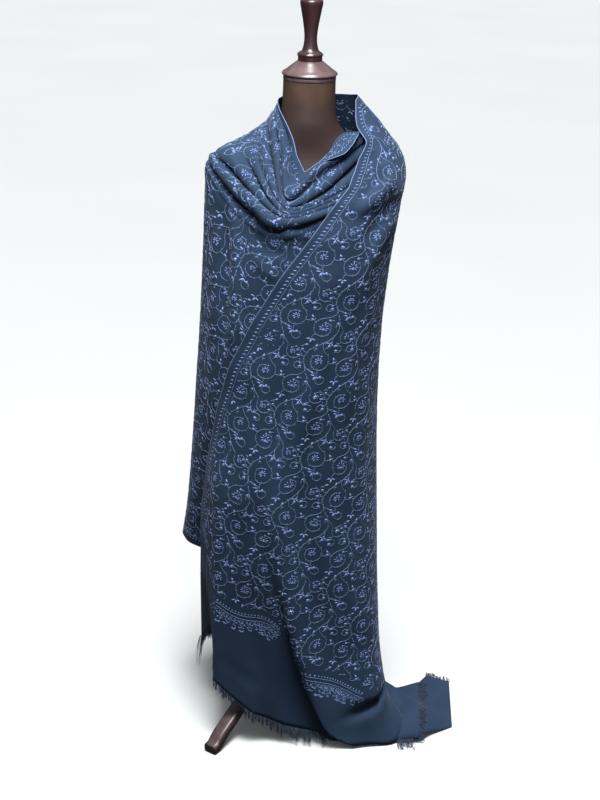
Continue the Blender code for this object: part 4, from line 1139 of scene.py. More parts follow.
# %% The turned edge
TURNED_FREE = ((0.0245, -0.1075, 1.2915), (0.0400, -0.1140, 1.3005), (0.0570, -0.1160, 1.3080),
               (0.0715, -0.1120, 1.3135), (0.0865, -0.0985, 1.3270), (0.0995, -0.0780, 1.3450))
TURNED_IN_FRONT = (0.0, -0.0012, 0.0014)
TURNED_TIP, TURNED_END = 0.35, 0.90       # how far it reaches past its last full knots
TURNED_BULGE, TURNED_ROWS = 0.007, 13


def turned_edge():
    coarse = smooth_curve(chest_knots()[0], (1, 4, 3, 4, 3))
    tip = coarse[5] + (coarse[4] - coarse[5]) * TURNED_TIP
    last = coarse[1] + (coarse[0] - coarse[1]) * TURNED_END
    fold = smooth_curve(np.array([tip, *coarse[4:0:-1], last]) + TURNED_IN_FRONT, (8,) * 5)
    free = smooth_curve(TURNED_FREE, (8,) * 5)
    swell = np.sin(np.linspace(0.0, math.pi, len(fold)))
    rows = []
    for share in np.linspace(0.0, 1.0, TURNED_ROWS):
        row = fold + (free - fold) * share
        row[:, 1] -= TURNED_BULGE * math.sin(math.pi * share) * swell
        rows.append(row)
    return np.array(rows)


TURNED = turned_edge()
TURNED_FLAT = own_map(TURNED)
lapel = cloth_piece("shawl_lapel", TURNED[:, ::-1], TURNED_FLAT[:, ::-1], "shawl_turned_edge")

# %% [markdown]
# ### The end on the floor
#
# The hem of the front stretch reaches the floor at its right corner and the plain end lies
# there in two layers, the upper one shorter. Both are worked out as rows from the back to the
# front, outwards from the hem.

# %% The end on the floor
COARSE_STATIONS = (0.0, 0.10, 0.20, 0.30, 0.38, 0.44, 0.50, 0.56, 0.64, 0.73, 0.82, 0.91, 1.0)
UPPER_LAST, LOWER_FIRST = 7, 4
FINE = 4                                  # fine stations to a coarse one
STATIONS = np.interp(np.arange(12 * FINE + 1) / FINE, range(13), COARSE_STATIONS)
EDGE_BEHIND = ((0.30, 0.2450, 0.0080), (0.56, 0.3045, 0.0400), (0.64, 0.3262, 0.0730),
               (1.00, 0.3800, 0.0500))
EDGE_IN_FRONT = ((0.30, 0.2420, -0.2010), (0.56, 0.2900, -0.1985), (0.73, 0.3180, -0.1700),
                 (1.00, 0.3710, -0.1340))
LAYER_GAP = 0.0032                        # between the two layers
SPREADS_BY, FALLS_BY = 0.5, 0.40          # stations where the end is spread and has come down
CAD_CLOTH = 0.002                         # thickness of the solids' wall


def edge_places(edge, start):
    known = (0.0, *(row[0] for row in edge))
    return np.array([np.interp(STATIONS, known, (start[axis], *(row[1 + axis] for row in edge)))
                     for axis in (0, 1)]).T


def floor_layer(hem, first, last, lift):
    behind, in_front = edge_places(EDGE_BEHIND, hem[0]), edge_places(EDGE_IN_FRONT, hem[-1])
    grid = []
    for share, start in zip(np.linspace(0.0, 1.0, len(hem)), hem):
        row = behind * (1.0 - share) + in_front * share
        row += (start[:2] - row[0]) * (1.0 - ramp(STATIONS, 0.0, SPREADS_BY))[:, None]
        line = []
        for station in range(first * FINE, last * FINE + 1):
            x, y = row[station]
            fall = start[2] * (1.0 - ramp(STATIONS[station], 0.0, FALLS_BY))
            height = max(fall, leg_top(x, y), 0.0)
            raised = lift * ramp(station / FINE, 1.0, LOWER_FIRST - 1)
            line.append((x, y, CAD_CLOTH / 2 + height + raised))
        grid.append(line)
    return np.array(grid)


HEM_SIDE = GRID[-1, RIGHT:RIGHT + PANEL_STEPS[0] + 1]
TAIL_UPPER = floor_layer(HEM_SIDE, 0, UPPER_LAST, LAYER_GAP)
TAIL_LOWER = floor_layer(HEM_SIDE, LOWER_FIRST, len(COARSE_STATIONS) - 1, 0.0)
tails = [cloth_piece(name, grid[::-1], own_map(grid[::-1]), replaced)
         for name, grid, replaced in (("shawl_end_upper", TAIL_UPPER, "shawl_tail_upper"),
                                      ("shawl_end_lower", TAIL_LOWER, "shawl_tail_lower"))]

# %% [markdown]
# ## The form and its stand
#
# The covered form is drawn up from a disc: each new row is extruded, moved and resized, as a
# turner follows a profile. The same way makes the finial and the cap, whose grooves are finer
# than on the solids. The legs are copies of the solids with rounded arrises.

# %% Drawing up a piece from a disc
def draw_up(name, rows, sides, finish, slot, replaced):
    """Rows from below: height, half width, half depth and how far the row lies back."""
    height, width, depth, back = rows[0]
    middle = (POLE.x, POLE.y + back, height)
    bpy.ops.object.select_all(action="DESELECT")
    bpy.ops.mesh.primitive_circle_add(vertices=sides, radius=1.0, fill_type="NGON",
                                      location=middle)
    piece = bpy.context.object
    piece.name = name
    bpy.ops.object.mode_set(mode="EDIT")
    bpy.ops.mesh.select_all(action="SELECT")
    bpy.ops.transform.resize(value=(width, depth, 1.0), center_override=middle)
    for before, row in zip(rows, rows[1:]):
        bpy.ops.mesh.extrude_region_move(TRANSFORM_OT_translate={
            "value": (0.0, row[3] - before[3], row[0] - before[0])})
        bpy.ops.transform.resize(value=(row[1] / before[1], row[2] / before[2], 1.0),
                                 center_override=(POLE.x, POLE.y + row[3], row[0]))
    bpy.ops.mesh.select_all(action="SELECT")
    bpy.ops.mesh.normals_make_consistent(inside=False)
    bpy.ops.object.mode_set(mode="OBJECT")
    apply_all(piece)
    bpy.ops.object.shade_smooth_by_angle(angle=math.radians(40))
    set_finish(piece, finish)
    hand_over(piece, slot, replaced)


def turned_rows(profile, steps):
    """Round rows along a smooth profile of radius and height."""
    return [(height, radius, radius, 0.0) for radius, height in
            smooth_curve(profile, (steps,) * (len(profile) - 1))]


# %% The covered form
FORM_ROWS = (
    # height, half width, half depth, how far the middle lies back
    (0.6400, 0.1450, 0.1050, 0.0050), (0.6900, 0.1500, 0.1100, 0.0060),
    (0.7600, 0.1520, 0.1110, 0.0050), (0.8500, 0.1390, 0.0975, -0.0015),
    (0.9300, 0.1210, 0.0860, -0.0040), (0.9900, 0.1250, 0.0890, -0.0050),
    (1.0600, 0.1430, 0.1010, -0.0080), (1.1200, 0.1580, 0.1065, -0.0055),
    (1.1700, 0.1700, 0.1020, 0.0020), (1.2200, 0.1800, 0.0910, 0.0090),
    (1.2550, 0.1780, 0.0800, 0.0120), (1.2780, 0.1660, 0.0730, 0.0120),
    (1.2960, 0.1360, 0.0680, 0.0110), (1.3130, 0.1040, 0.0650, 0.0090),
    (1.3300, 0.0775, 0.0630, 0.0060), (1.3550, 0.0605, 0.0605, 0.0025),
    (1.3800, 0.0545, 0.0558, 0.0008), (1.4050, 0.0530, 0.0535, 0.0000),
    (1.4365, 0.0525, 0.0525, 0.0000),
)
draw_up("form_cover", smooth_curve(FORM_ROWS, (5,) * 18), 96, LEATHERETTE, "form_cover",
        "form_torso")

# %% The finial and the cap
FINIAL = ((0.0243, 1.4740), (0.0243, 1.4785), (0.0243, 1.4822), (0.0254, 1.4838),
          (0.0260, 1.4858), (0.0246, 1.4884), (0.0176, 1.4932), (0.0142, 1.5030),
          (0.0127, 1.5180), (0.0140, 1.5350), (0.0172, 1.5550), (0.0210, 1.5750),
          (0.0228, 1.5862), (0.0224, 1.5892), (0.0200, 1.5915), (0.0120, 1.5945),
          (0.0020, 1.5959))
CAP = ((0.0500, 1.4369), (0.0524, 1.4376), (0.0530, 1.4396), (0.0528, 1.4424),
       (0.0522, 1.4446), (0.0538, 1.4464), (0.0556, 1.4477), (0.0561, 1.4490),
       (0.0554, 1.4506), (0.0480, 1.4563), (0.0400, 1.4625), (0.0330, 1.4679),
       (0.0275, 1.4722), (0.0255, 1.4736), (0.0020, 1.4737))
draw_up("turned_finial", turned_rows(FINIAL, 4), 64, DARK_WOOD, "dark_wood", "form_finial")
draw_up("turned_cap", turned_rows(CAP, 3), 72, CAP_WOOD_PAINTED_LIT, "red_wood", "form_neck_cap")


# %% The legs with rounded arrises
WELD, ARRIS, SHARP, SMOOTH_UNDER = 0.00002, 0.0030, math.radians(42), math.radians(40)


def rounded_copy(name, node_name, finish, slot):
    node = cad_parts[node_name]
    piece = bpy.data.objects.new(name, node.data.copy())
    piece.matrix_world = node.matrix_world
    bpy.context.scene.collection.objects.link(piece)
    select_only(piece)
    bpy.ops.object.mode_set(mode="EDIT")
    bpy.ops.mesh.select_all(action="SELECT")
    bpy.ops.mesh.remove_doubles(threshold=WELD)
    bpy.ops.object.mode_set(mode="OBJECT")
    arris = piece.modifiers.new("arris", "BEVEL")
    arris.width, arris.segments = ARRIS, 3
    arris.limit_method, arris.angle_limit = "ANGLE", SHARP
    apply_all(piece)
    bpy.ops.object.shade_smooth_by_angle(angle=SMOOTH_UNDER)
    set_finish(piece, finish)
    hand_over(piece, slot, node_name)


for number in (1, 2, 3):
    rounded_copy(f"leg_{number}_rounded", f"stand_leg_{number}", RED_WOOD, "red_wood")
for name in ("stand_pole", "stand_hub", "form_base_plate"):
    set_finish(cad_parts[name], RED_WOOD)


# %% [markdown]
# ## The needlework
#
# The whole ground is covered by a scrolling vine, a pattern as old as the craft: a stem winds
# down the cloth, tendrils leave it and curl round a flower, and leaves, buds and thorns fill
# the gaps. One repeat is charted here by its curves. It could be painted as a picture on the
# cloth, but raised stitches catch the light and stay sharp from close by, so each stitch is a
# small closed shape of a few faces.

# %% The repeat of the vine, in metres on the flat cloth
REPEAT_ACROSS, REPEAT_DOWN = 0.098, 0.150
STEM_MIDDLE, STEM_SWING = 0.049, 0.020
STITCH_RISE, SUNK = 0.0006, -0.2          # height of a stitch, and the share that is sunk
KNOT_RISE = 1.4 * STITCH_RISE
LEAF_OUTLINE = ((0.0, 0.0), (0.35, 0.5), (0.70, 0.38), (1.0, 0.0), (0.70, -0.38), (0.35, -0.5))

# Tendrils: where each leaves the stem (height in the repeat), the middle, radius, starting
# angle and sweep of its curl, how far the curl closes in, and what it carries.
TENDRILS = (
    (-0.0080, (0.0350, 0.0380), 0.0240, 250.0, -345.0, 0.50, "star"),
    (0.0670, (0.0630, 0.1120), 0.0235, 290.0, 335.0, 0.55, "rose"),
    (0.0150, (0.1000, 0.0400), 0.0185, 190.0, -330.0, 0.55, "pair"),
    (-0.0130, (0.0860, 0.0010), 0.0120, 205.0, -300.0, 0.60, "bud"),
    (0.1200, (0.0240, 0.1420), 0.0100, 300.0, -270.0, 0.60, "bud"),
    (0.0480, (0.0930, 0.0745), 0.0100, 210.0, 250.0, 0.60, "bud"),
)
# Short sprigs: the foot, heading in degrees, length, bend in degrees, and what it carries.
SPRIGS = (
    ((0.0665, 0.0520), 60.0, 0.014, 40.0, "leaves"),
    ((0.0300, 0.1180), 200.0, 0.010, -40.0, "leaf"),
    ((0.0590, 0.0300), 250.0, 0.009, 30.0, "bud"),
    ((0.0115, 0.0330), 190.0, 0.011, 40.0, "leaf"),
    ((0.0240, 0.0590), 120.0, 0.013, -50.0, "leaves"),
    ((0.0865, 0.1100), 10.0, 0.011, -50.0, "bud"),
    ((0.0700, 0.1345), 60.0, 0.012, 40.0, "leaves"),
    ((0.0455, 0.0950), 230.0, 0.008, 40.0, "leaf"),
    ((0.1080, 0.0240), 290.0, 0.009, 40.0, "leaf"),
    ((0.1180, 0.0500), 30.0, 0.009, 50.0, "bud"),
    ((0.0480, 0.0150), 200.0, 0.008, -60.0, "bud"),
    ((0.0470, 0.1400), 330.0, 0.010, 60.0, "leaf"),
    ((0.0630, 0.0800), 330.0, 0.012, -60.0, "leaf"),
    ((0.0340, 0.1050), 160.0, 0.015, 50.0, "bud"),
    ((0.0890, 0.0580), 110.0, 0.006, 20.0, "leaf"),
)


# %% Vines as rows of points
def direction(degrees):
    return np.array((math.cos(math.radians(degrees)), math.sin(math.radians(degrees))))


def heading_of(way):
    return math.degrees(math.atan2(way[1], way[0]))


def stem_place(height):
    return np.array((STEM_MIDDLE + STEM_SWING * math.sin(2 * math.pi * height / REPEAT_DOWN),
                     height))


def joining(start, start_way, end, end_way, steps=5):
    """A soft curve from one place to another that keeps both headings."""
    reach = np.linalg.norm(end - start)
    t = np.linspace(0.0, 1.0, steps + 1)[:, None]
    return ((2 * t**3 - 3 * t**2 + 1) * start + (t**3 - 2 * t**2 + t) * reach * start_way
            + (-2 * t**3 + 3 * t**2) * end + (t**3 - t**2) * reach * end_way)


def tendril_line(leaves_at, middle, radius, angle, sweep, closing):
    """The line of a tendril: out of the stem, round its curl and inwards."""
    steps = max(int(abs(math.radians(sweep)) * radius / 0.0042), 8)
    share = np.linspace(0.0, 1.0, steps + 1)
    radii = radius * (1.0 - (1.0 - closing) * share**1.6)
    turn = np.radians(angle + sweep * share)
    curl = np.array(middle) + radii[:, None] * np.column_stack((np.cos(turn), np.sin(turn)))
    way = direction(angle + math.copysign(90.0, sweep))
    foot = stem_place(leaves_at)
    stem_way = stem_place(leaves_at + 0.002) - foot
    start = joining(foot, stem_way / np.linalg.norm(stem_way), curl[0], way)
    return np.vstack((start[:-1], curl))


def bent_line(foot, heading, length, bend, steps=4):
    points = [np.array(foot)]
    for i in range(steps):
        way = direction(heading + bend * (i + 0.5) / steps)
        points.append(points[-1] + way * length / steps)
    return np.array(points)


# %% Stitches as small closed shapes
class Stitches:
    """Closed shapes of thread on the flat cloth: (across, down, height) corners and faces."""

    def __init__(self):
        self.shapes = []

    def add(self, corners, faces, tone):
        self.shapes.append((np.asarray(corners, float), np.asarray(faces), tone))

    def line(self, points, width, tone, taper=0.5):
        """A row of stem stitches: a three-sided cord that is closed at its ends."""
        points = np.asarray(points, float)
        way = np.gradient(points, axis=0)
        way /= np.maximum(np.linalg.norm(way, axis=1), 1e-9)[:, None]
        half = np.full(len(points), 0.5 * width)
        half[-1] *= taper
        aside = np.column_stack((-way[:, 1], way[:, 0])) * half[:, None]
        corners = np.stack([np.column_stack((row, np.full(len(points), height)))
                            for row, height in ((points + aside, SUNK * STITCH_RISE),
                                                (points, STITCH_RISE),
                                                (points - aside, SUNK * STITCH_RISE))], axis=1)
        faces = []
        for a in range(0, 3 * len(points) - 3, 3):
            for j, k in SIDES:
                faces += [(a + j, a + 3 + j, a + 3 + k), (a + j, a + 3 + k, a + k)]
        end = 3 * (len(points) - 1)
        faces += [(0, 1, 2), (end, end + 2, end + 1)]
        self.add(corners.reshape(-1, 3), faces, tone)

    def mound(self, rim, top, under, rise, tone):
        """A closed shape with six corners round its rim and one raised corner."""
        corners = np.column_stack((rim, np.full(6, SUNK * rise)))
        self.add(np.vstack((corners, (*top, rise))),
                 [(i, 6, (i + 1) % 6) for i in range(6)] + list(under), tone)

    def leaf(self, foot, heading, length, width, tone):
        """A filled leaf or petal: a pointed outline with a raised middle."""
        foot, way, aside = np.array(foot), direction(heading), direction(heading + 90.0)
        self.mound([foot + way * length * a + aside * width * b for a, b in LEAF_OUTLINE],
                   foot + way * length * 0.5, ((0, 1, 5), (1, 2, 5), (2, 4, 5), (2, 3, 4)),
                   STITCH_RISE, tone)

    def knot(self, place, radius, tone):
        """A French knot or a small round bud."""
        turn = np.radians(np.arange(0, 360, 60))
        rim = np.column_stack((place[0] + radius * np.cos(turn),
                               place[1] + radius * np.sin(turn)))
        self.mound(rim, place, ((0, 1, 2), (0, 2, 3), (0, 3, 4), (0, 4, 5)), KNOT_RISE, tone)

    def leaves(self, place, heading, size, table):
        """Leaves from one place, from a table of their turns and sizes."""
        for turn, length, width, tone in table:
            self.leaf(place, heading + turn, length * size, width * size, tone)


# %% Flowers, buds and leaves
STAR_SPREADS = (-118.0, -80.0, -40.0, 0.0, 40.0, 80.0, 118.0)      # degrees between petals
THORN_LEAN, THORN_LENGTH, THORN_WIDTH = 62.0, 0.0040, 0.0016
# Leaves from one place: turn, length and width as shares of the size, and tone.
BUD_LEAVES = ((60.0, 0.62, 0.24, 0.6), (-60.0, 0.62, 0.24, 0.6))
STAR_LEAVES = ((160.0, 0.42, 0.15, 0.6), (-160.0, 0.42, 0.15, 0.6))
LEAF_GROUP = ((0.0, 1.10, 0.38, 0.7), (78.0, 0.98, 0.32, 0.7), (-72.0, 0.92, 0.32, 0.7))


def star_flower(work, place, heading, size=0.0200):
    """A flower with seven narrow petals that spread from one side."""
    for i, spread in enumerate(STAR_SPREADS):
        foot = np.array(place) + direction(heading + spread) * 0.15 * size
        work.leaf(foot, heading + spread, size * (0.52 if i % 2 else 0.44), 0.125 * size, 0.85)
    work.leaves(place, heading, size, STAR_LEAVES)
    work.knot(place, 0.075 * size, 1.0)


def rose_flower(work, place, heading, size=0.0165):
    """A round flower: an outer ring of short petals round a coiled heart."""
    for i in range(7):
        turn = heading + 40.0 + i * 46.0
        foot = np.array(place) + direction(turn) * 0.26 * size
        work.leaf(foot, turn, 0.30 * size, 0.20 * size, 0.8)
    turn = np.radians(heading + np.linspace(0.0, 330.0, 8))
    ring = np.array(place) + 0.20 * size * np.column_stack((np.cos(turn), np.sin(turn)))
    work.line(ring, 0.10 * size, 1.0)


def bud(work, place, heading, size=0.0075):
    work.knot(np.array(place) + direction(heading) * 0.4 * size, 0.40 * size, 0.8)
    work.leaves(place, heading, size, BUD_LEAVES)


def finish_line(work, line, kind):
    """Puts what a vine carries at its end."""
    heading = heading_of(line[-1] - line[-2])
    if kind == "leaves":
        work.leaves(line[-1], heading, 0.0135, LEAF_GROUP)
    elif kind == "leaf":
        work.leaf(line[-1], heading, 0.0115, 0.0052, 0.7)
        work.leaf(line[-2], heading + 70.0, 0.0060, 0.0022, 0.5)
    else:
        bud(work, line[-1], heading)


def add_thorns(work, line, first, step):
    """Short straight stitches on alternate sides of a vine."""
    for n, i in enumerate(range(first, len(line) - 2, step)):
        heading = heading_of(line[i + 1] - line[i - 1]) + (THORN_LEAN if n % 2 else -THORN_LEAN)
        work.leaf(line[i], heading, THORN_LENGTH, THORN_WIDTH, 0.3)


def chart_repeat():
    """One repeat: its vines as rows of points, and its flowers, buds and leaves as shapes."""
    work = Stitches()
    vines = [np.array([stem_place(height) for height in np.linspace(0.0, REPEAT_DOWN, 37)])]
    add_thorns(work, vines[0], 2, 3)
    for *shape, closing, kind in TENDRILS:
        line = tendril_line(*shape, closing)
        vines.append(line)
        add_thorns(work, line, 6, 4 if len(line) > 24 else 5)
        middle, sweep = np.array(shape[1]), shape[4]
        heading = heading_of(line[-1] - line[-2])
        if kind == "star":
            star_flower(work, middle + (0.0, 0.001), -100.0)
        elif kind == "rose":
            rose_flower(work, middle, 60.0)
        elif kind == "pair":
            rose_flower(work, middle + (-0.003, 0.002), 60.0, 0.0125)
            bud(work, middle + (0.004, -0.004), -40.0, 0.0070)
        if kind == "bud":
            bud(work, line[-1], heading + math.copysign(30.0, sweep), 0.0090)
        else:
            bud(work, line[-1], heading, 0.0055)
    for foot, heading, length, bend, kind in SPRIGS:
        line = bent_line(foot, heading, length, bend)
        vines.append(line)
        finish_line(work, line, kind)
    return vines, work.shapes


REPEAT_VINES, REPEAT_SHAPES = chart_repeat()
print("one repeat has", len(REPEAT_VINES), "vines and", len(REPEAT_SHAPES), "shapes")


# %% [markdown]
# ### From the flat cloth to the drape
#
# The repeat is copied all over the flat cloth and then carried to the drape: a ray finds the
# cell of the grid that each corner falls in, and the corner keeps its place in that cell. The
# cloth's own curve then bends the stitches, as it does on the real one.

# %% The flat cloth as a net of triangles
VINE_FROM = 0.0270          # where the vine begins, measured from the leading edge
TICKS_AT = 0.0170           # the row of slanting stitches along that edge
LOW_TICKS_AT, LOW_LINE_AT = 0.0150, 0.0220      # the same row and its line along the low hem
END_PLACES = ((-0.235, 0.500), (-0.205, 0.455), (-0.180, 0.372), (-0.168, 0.350),
              (-0.129, 0.327), (-0.093, 0.320), (-0.064, 0.329), (-0.038, 0.3155),
              (-0.020, 0.287), (0.008, 0.205), (0.037, 0.1855), (0.0685, 0.180),
              (0.109, 0.157), (0.151, 0.128), (0.186, 0.106),
              (0.230, 0.104))     # (x, z) of the end border on the front
WORKED_SIZE, MOTIF_SIZE = 0.90, 1.06      # the chart's repeat and its motifs as they are worked
LAST_ROW, LAST_COLUMN = GRID.shape[0] - 1, GRID.shape[1] - 1
DOWN = line_lengths(GRID, 0)
ALONG = line_lengths(GRID, 1)
TO_EDGE = ALONG[:, -1:] - ALONG          # distance to the leading edge along each row
RIM_GAP = np.minimum(TO_EDGE, DOWN)      # distance to the long edge, round the neck or in front


def end_border_rows():
    """The row of the grid where the end border crosses each column of the front."""
    rows = np.full(GRID.shape[1], float(LAST_ROW))
    places, heights = np.array(END_PLACES).T
    for column in range(RIGHT, LAST_COLUMN + 1):
        line = GRID[:, column]
        above = line[:, 2] - np.interp(line[:, 0], places, heights)
        under = np.nonzero((above[:-1] > 0.0) & (above[1:] <= 0.0))[0]
        if len(under):
            i = under[-1]
            rows[column] = i + above[i] / (above[i] - above[i + 1])
    front = rows[RIGHT:]
    padded = np.pad(front, 3, mode="edge")
    rows[RIGHT:] = np.mean([padded[i:i + len(front)] for i in range(7)], axis=0)
    return rows


END_ROWS = end_border_rows()
print("end border from row", round(float(END_ROWS[RIGHT])), "to", round(float(END_ROWS[-1])))


class ClothNet:
    """A draped grid and its flat places: tells where a flat place lies on the drape."""

    def __init__(self, grid, flat):
        self.grid, self.flat, self.normals = grid, flat, surface_normals(grid)
        self.corners = flat[..., ::-1].reshape(-1, 2)
        self.triangles = grid_triangles(*grid.shape[:2])
        self.tree = BVHTree.FromPolygons([(x, y, 0.0) for x, y in self.corners.tolist()],
                                         self.triangles.tolist())

    def places(self, spots):
        """Row and column of each spot (across, down) of the flat cloth, or -1 off the cloth."""
        down = Vector((0.0, 0.0, -1.0))
        hits = [self.tree.ray_cast(Vector((x, y, 1.0)), down)[2]
                for x, y in spots[:, :2].tolist()]
        hits = np.array([-1 if hit is None else hit for hit in hits])
        triangle = self.triangles[hits]
        a, b, c = (self.corners[triangle[:, k]] for k in range(3))
        ab, ac, ap = b - a, c - a, spots[:, :2] - a
        area = ab[:, 0] * ac[:, 1] - ab[:, 1] * ac[:, 0]
        v = (ap[:, 0] * ac[:, 1] - ap[:, 1] * ac[:, 0]) / area
        w = (ab[:, 0] * ap[:, 1] - ab[:, 1] * ap[:, 0]) / area
        shares = np.column_stack((1.0 - v - w, v, w))
        rows = (shares * (triangle // self.grid.shape[1])).sum(axis=1)
        columns = (shares * (triangle % self.grid.shape[1])).sum(axis=1)
        rows[hits < 0] = columns[hits < 0] = -1.0
        return rows, columns

    def carry(self, shapes, fits_here, face=1.0):
        """The draped corners of stitches, the shape each belongs to, what may stay and where."""
        corners = np.vstack([shape[0] for shape in shapes])
        owner = np.repeat(np.arange(len(shapes)), [len(shape[0]) for shape in shapes])
        rows, columns = self.places(corners)
        whole = np.ones(len(shapes), bool)
        whole[owner[~fits_here(rows, columns)]] = False
        lift = face * (corners[:, 2:] + 0.5 * THREAD)
        drape = between_points(self.grid, rows, columns) \
            + between_points(self.normals, rows, columns) * lift
        first = np.full(len(shapes), -1.0)
        first[owner] = columns
        return drape, owner, whole, first


def between_points(grid, rows, columns):
    r = np.clip(rows.astype(int), 0, grid.shape[0] - 2)
    c = np.clip(columns.astype(int), 0, grid.shape[1] - 2)
    s, t = (rows - r)[:, None], (columns - c)[:, None]
    return ((1 - s) * (1 - t) * grid[r, c] + s * (1 - t) * grid[r + 1, c]
            + (1 - s) * t * grid[r, c + 1] + s * t * grid[r + 1, c + 1])


CLOTH = ClothNet(GRID, FLAT)


# %% Where the vine may be worked
NECK_TICKS_FROM = 72        # round the neck the row of slanting stitches begins behind


def open_ground(rows, columns, from_rim=VINE_FROM):
    """True where the vine may be worked: inside the borders, and not under the front."""
    from_rim = np.where(columns < NECK_TICKS_FROM, 0.4 * from_rim, from_rim)
    end = np.interp(columns, np.arange(LAST_COLUMN + 1), END_ROWS)
    inside = (rows >= 0.0) & (rows < np.where(columns > RIGHT, end - 1.5, LAST_ROW - 3.0))
    gap = between_points(RIM_GAP[..., None], np.maximum(rows, 0.0), np.maximum(columns, 0.0))
    return inside & (columns > 6.0) & (gap[:, 0] > from_rim)


# %% The vine all over the ground
VINE_THREAD = 0.00120       # width of a worked stem
SWAY_WIDE, SWAY_SMALL = 0.0030, 0.0016


def sway(places):
    """A hand never repeats itself: the repeat wanders a few millimetres over the cloth."""
    x, y = places[:, 0], places[:, 1]
    moved = places.copy()
    moved[:, 0] += SWAY_WIDE * np.sin(17.0 * y + 4.0 * x) + SWAY_SMALL * np.sin(41.0 * y + 1.3)
    moved[:, 1] += SWAY_WIDE * np.sin(19.0 * x - 6.0 * y) + SWAY_SMALL * np.sin(37.0 * x + 2.1)
    return moved


def work_ground():
    """Copies the repeat over the flat cloth, cut off at the borders."""
    work = Stitches()
    low, high = CLOTH.corners.min(axis=0), CLOTH.corners.max(axis=0)
    across, down = WORKED_SIZE * REPEAT_ACROSS, WORKED_SIZE * REPEAT_DOWN
    for i in range(int(low[0] / across) - 1, int(high[0] / across) + 2):
        for j in range(int(low[1] / down) - 2, int(high[1] / down) + 2):
            offset = np.array((i * across, (j + 0.5 * (i % 2)) * down))
            for vine in REPEAT_VINES:
                line = sway(vine * WORKED_SIZE + offset)
                if not ((line > low) & (line < high)).all(axis=1).any():
                    continue
                fits = open_ground(*CLOTH.places(line))
                runs = np.split(np.arange(len(line)), np.nonzero(np.diff(fits))[0] + 1)
                for run in runs:
                    if len(run) > 1 and fits[run[0]]:
                        work.line(line[run], VINE_THREAD, 0.10)
            for corners, faces, tone in REPEAT_SHAPES:
                own_middle = corners[:, :2].mean(axis=0)
                middle = sway(own_middle[None, :] * WORKED_SIZE + offset)
                moved = corners.copy()
                moved[:, :2] = middle + (corners[:, :2] - own_middle) * MOTIF_SIZE
                if (middle > low).all() and (middle < high).all():
                    work.add(moved, faces, tone)
    return work


ground = work_ground()
print("stitched shapes on the ground:", len(ground.shapes))


# %% Carrying stitches to the drape
def set_tone(piece, values):
    tone = piece.data.attributes.new("tone", "FLOAT", "POINT")
    tone.data.foreach_set("value", np.asarray(values, np.float32))


def needlework(net, shapes, fits_here, *parts, face=1.0):
    """Carries stitches to the drape: one mesh for each part, with its first and last column."""
    drape, owner, whole, first = net.carry(shapes, fits_here, face)
    tones = np.array([shape[2] for shape in shapes])
    starts = np.concatenate(([0], np.cumsum([len(shape[0]) for shape in shapes])))
    for name, low, high in parts:
        chosen = whole & (first >= low) & (first < high)
        picked = chosen[owner]
        number = np.cumsum(picked) - 1
        faces = np.vstack([number[shapes[i][1] + starts[i]] for i in np.nonzero(chosen)[0]])
        faces = faces[:, ::-1] if face < 0.0 else faces
        piece = add_surface(name, drape[picked], faces.tolist(), YARN)
        set_tone(piece, tones[owner[picked]])
        hand_over(piece, "shawl_twill")


needlework(CLOTH, ground.shapes, open_ground, ("needlework_chest", 0, LEFT),
           ("needlework_back", LEFT, RIGHT), ("needlework_front_right", RIGHT, RIGHT + 30),
           ("needlework_front_left", RIGHT + 30, LAST_COLUMN + 1))


# %% The back of the stitches inside the collar
COLLAR_FROM, COLLAR_DEPTH = 84, 0.105


def inside_collar(rows, columns):
    gap = between_points(DOWN[..., None], np.maximum(rows, 0.0), np.maximum(columns, 0.0))[:, 0]
    return open_ground(rows, columns, 0.012) & (columns > COLLAR_FROM) & (gap < COLLAR_DEPTH)


needlework(CLOTH, ground.shapes, inside_collar,
           ("needlework_inside_collar", 0, LAST_COLUMN + 1), face=-1.0)


# %% [markdown]
# ### Borders
#
# A row of short slanting stitches and a fine line run beside every edge, and below the ground
# a border of small hanging sprays closes the work before the plain end band. Each border
# follows a line on the grid, and its stitches are again placed on the flat cloth beside that
# line.

# %% Lines that the borders follow
def flat_line(rows, columns, spacing, flat=FLAT):
    """Evenly spaced flat places along a line on the grid, with the heading at each."""
    line = between_points(flat, np.asarray(rows, float), np.asarray(columns, float))[:, ::-1]
    total = line_lengths(line)
    stations = np.arange(0.5 * spacing, total[-1], spacing)
    places = np.column_stack([np.interp(stations, total, line[:, k]) for k in (0, 1)])
    way = np.gradient(places, axis=0)
    return places, np.degrees(np.arctan2(way[:, 1], way[:, 0]))


def row_at(column, length):
    """The row where a column of the grid has run a length from the neck."""
    return np.interp(length, DOWN[:, column], np.arange(LAST_ROW + 1))


def long_edge_line(gap):
    """The line on the grid at a distance from the long edge: round the neck, then down."""
    columns = np.arange(NECK_TICKS_FROM, LAST_COLUMN + 1)
    rows = [row_at(c, gap) for c in columns]
    round_neck = [(r, c) for r, c in zip(rows, columns) if TO_EDGE[int(round(r)), c] > gap]
    last = round_neck[-1][0]
    down_front = [(r, np.interp(-gap, -TO_EDGE[r], np.arange(LAST_COLUMN + 1)))
                  for r in range(int(last) + 1, LAST_ROW + 1)]
    down_front = [(r, c) for r, c in down_front if r < END_ROWS[int(c)] + 1.0]
    return np.array(round_neck + down_front).T


def low_edge_line(gap):
    """The line on the grid at a distance above the low hem of the chest and the back."""
    return np.array([(row_at(c, DOWN[-1, c] - gap), c) for c in range(7, RIGHT + 1)]).T


def seen_beside_lap(columns):
    """Two stretches of the columns: left of the lap, and on it. The lap hides what is between."""
    places = between_points(GRID, END_ROWS[columns], columns.astype(float))
    from_lap = places[:, 0] - lap_place(places[:, 2])
    on_it = (from_lap > 0.007) & (columns >= RIGHT + 19)
    return columns[on_it], columns[(from_lap < -0.014) & (columns <= RIDGE + 1)]


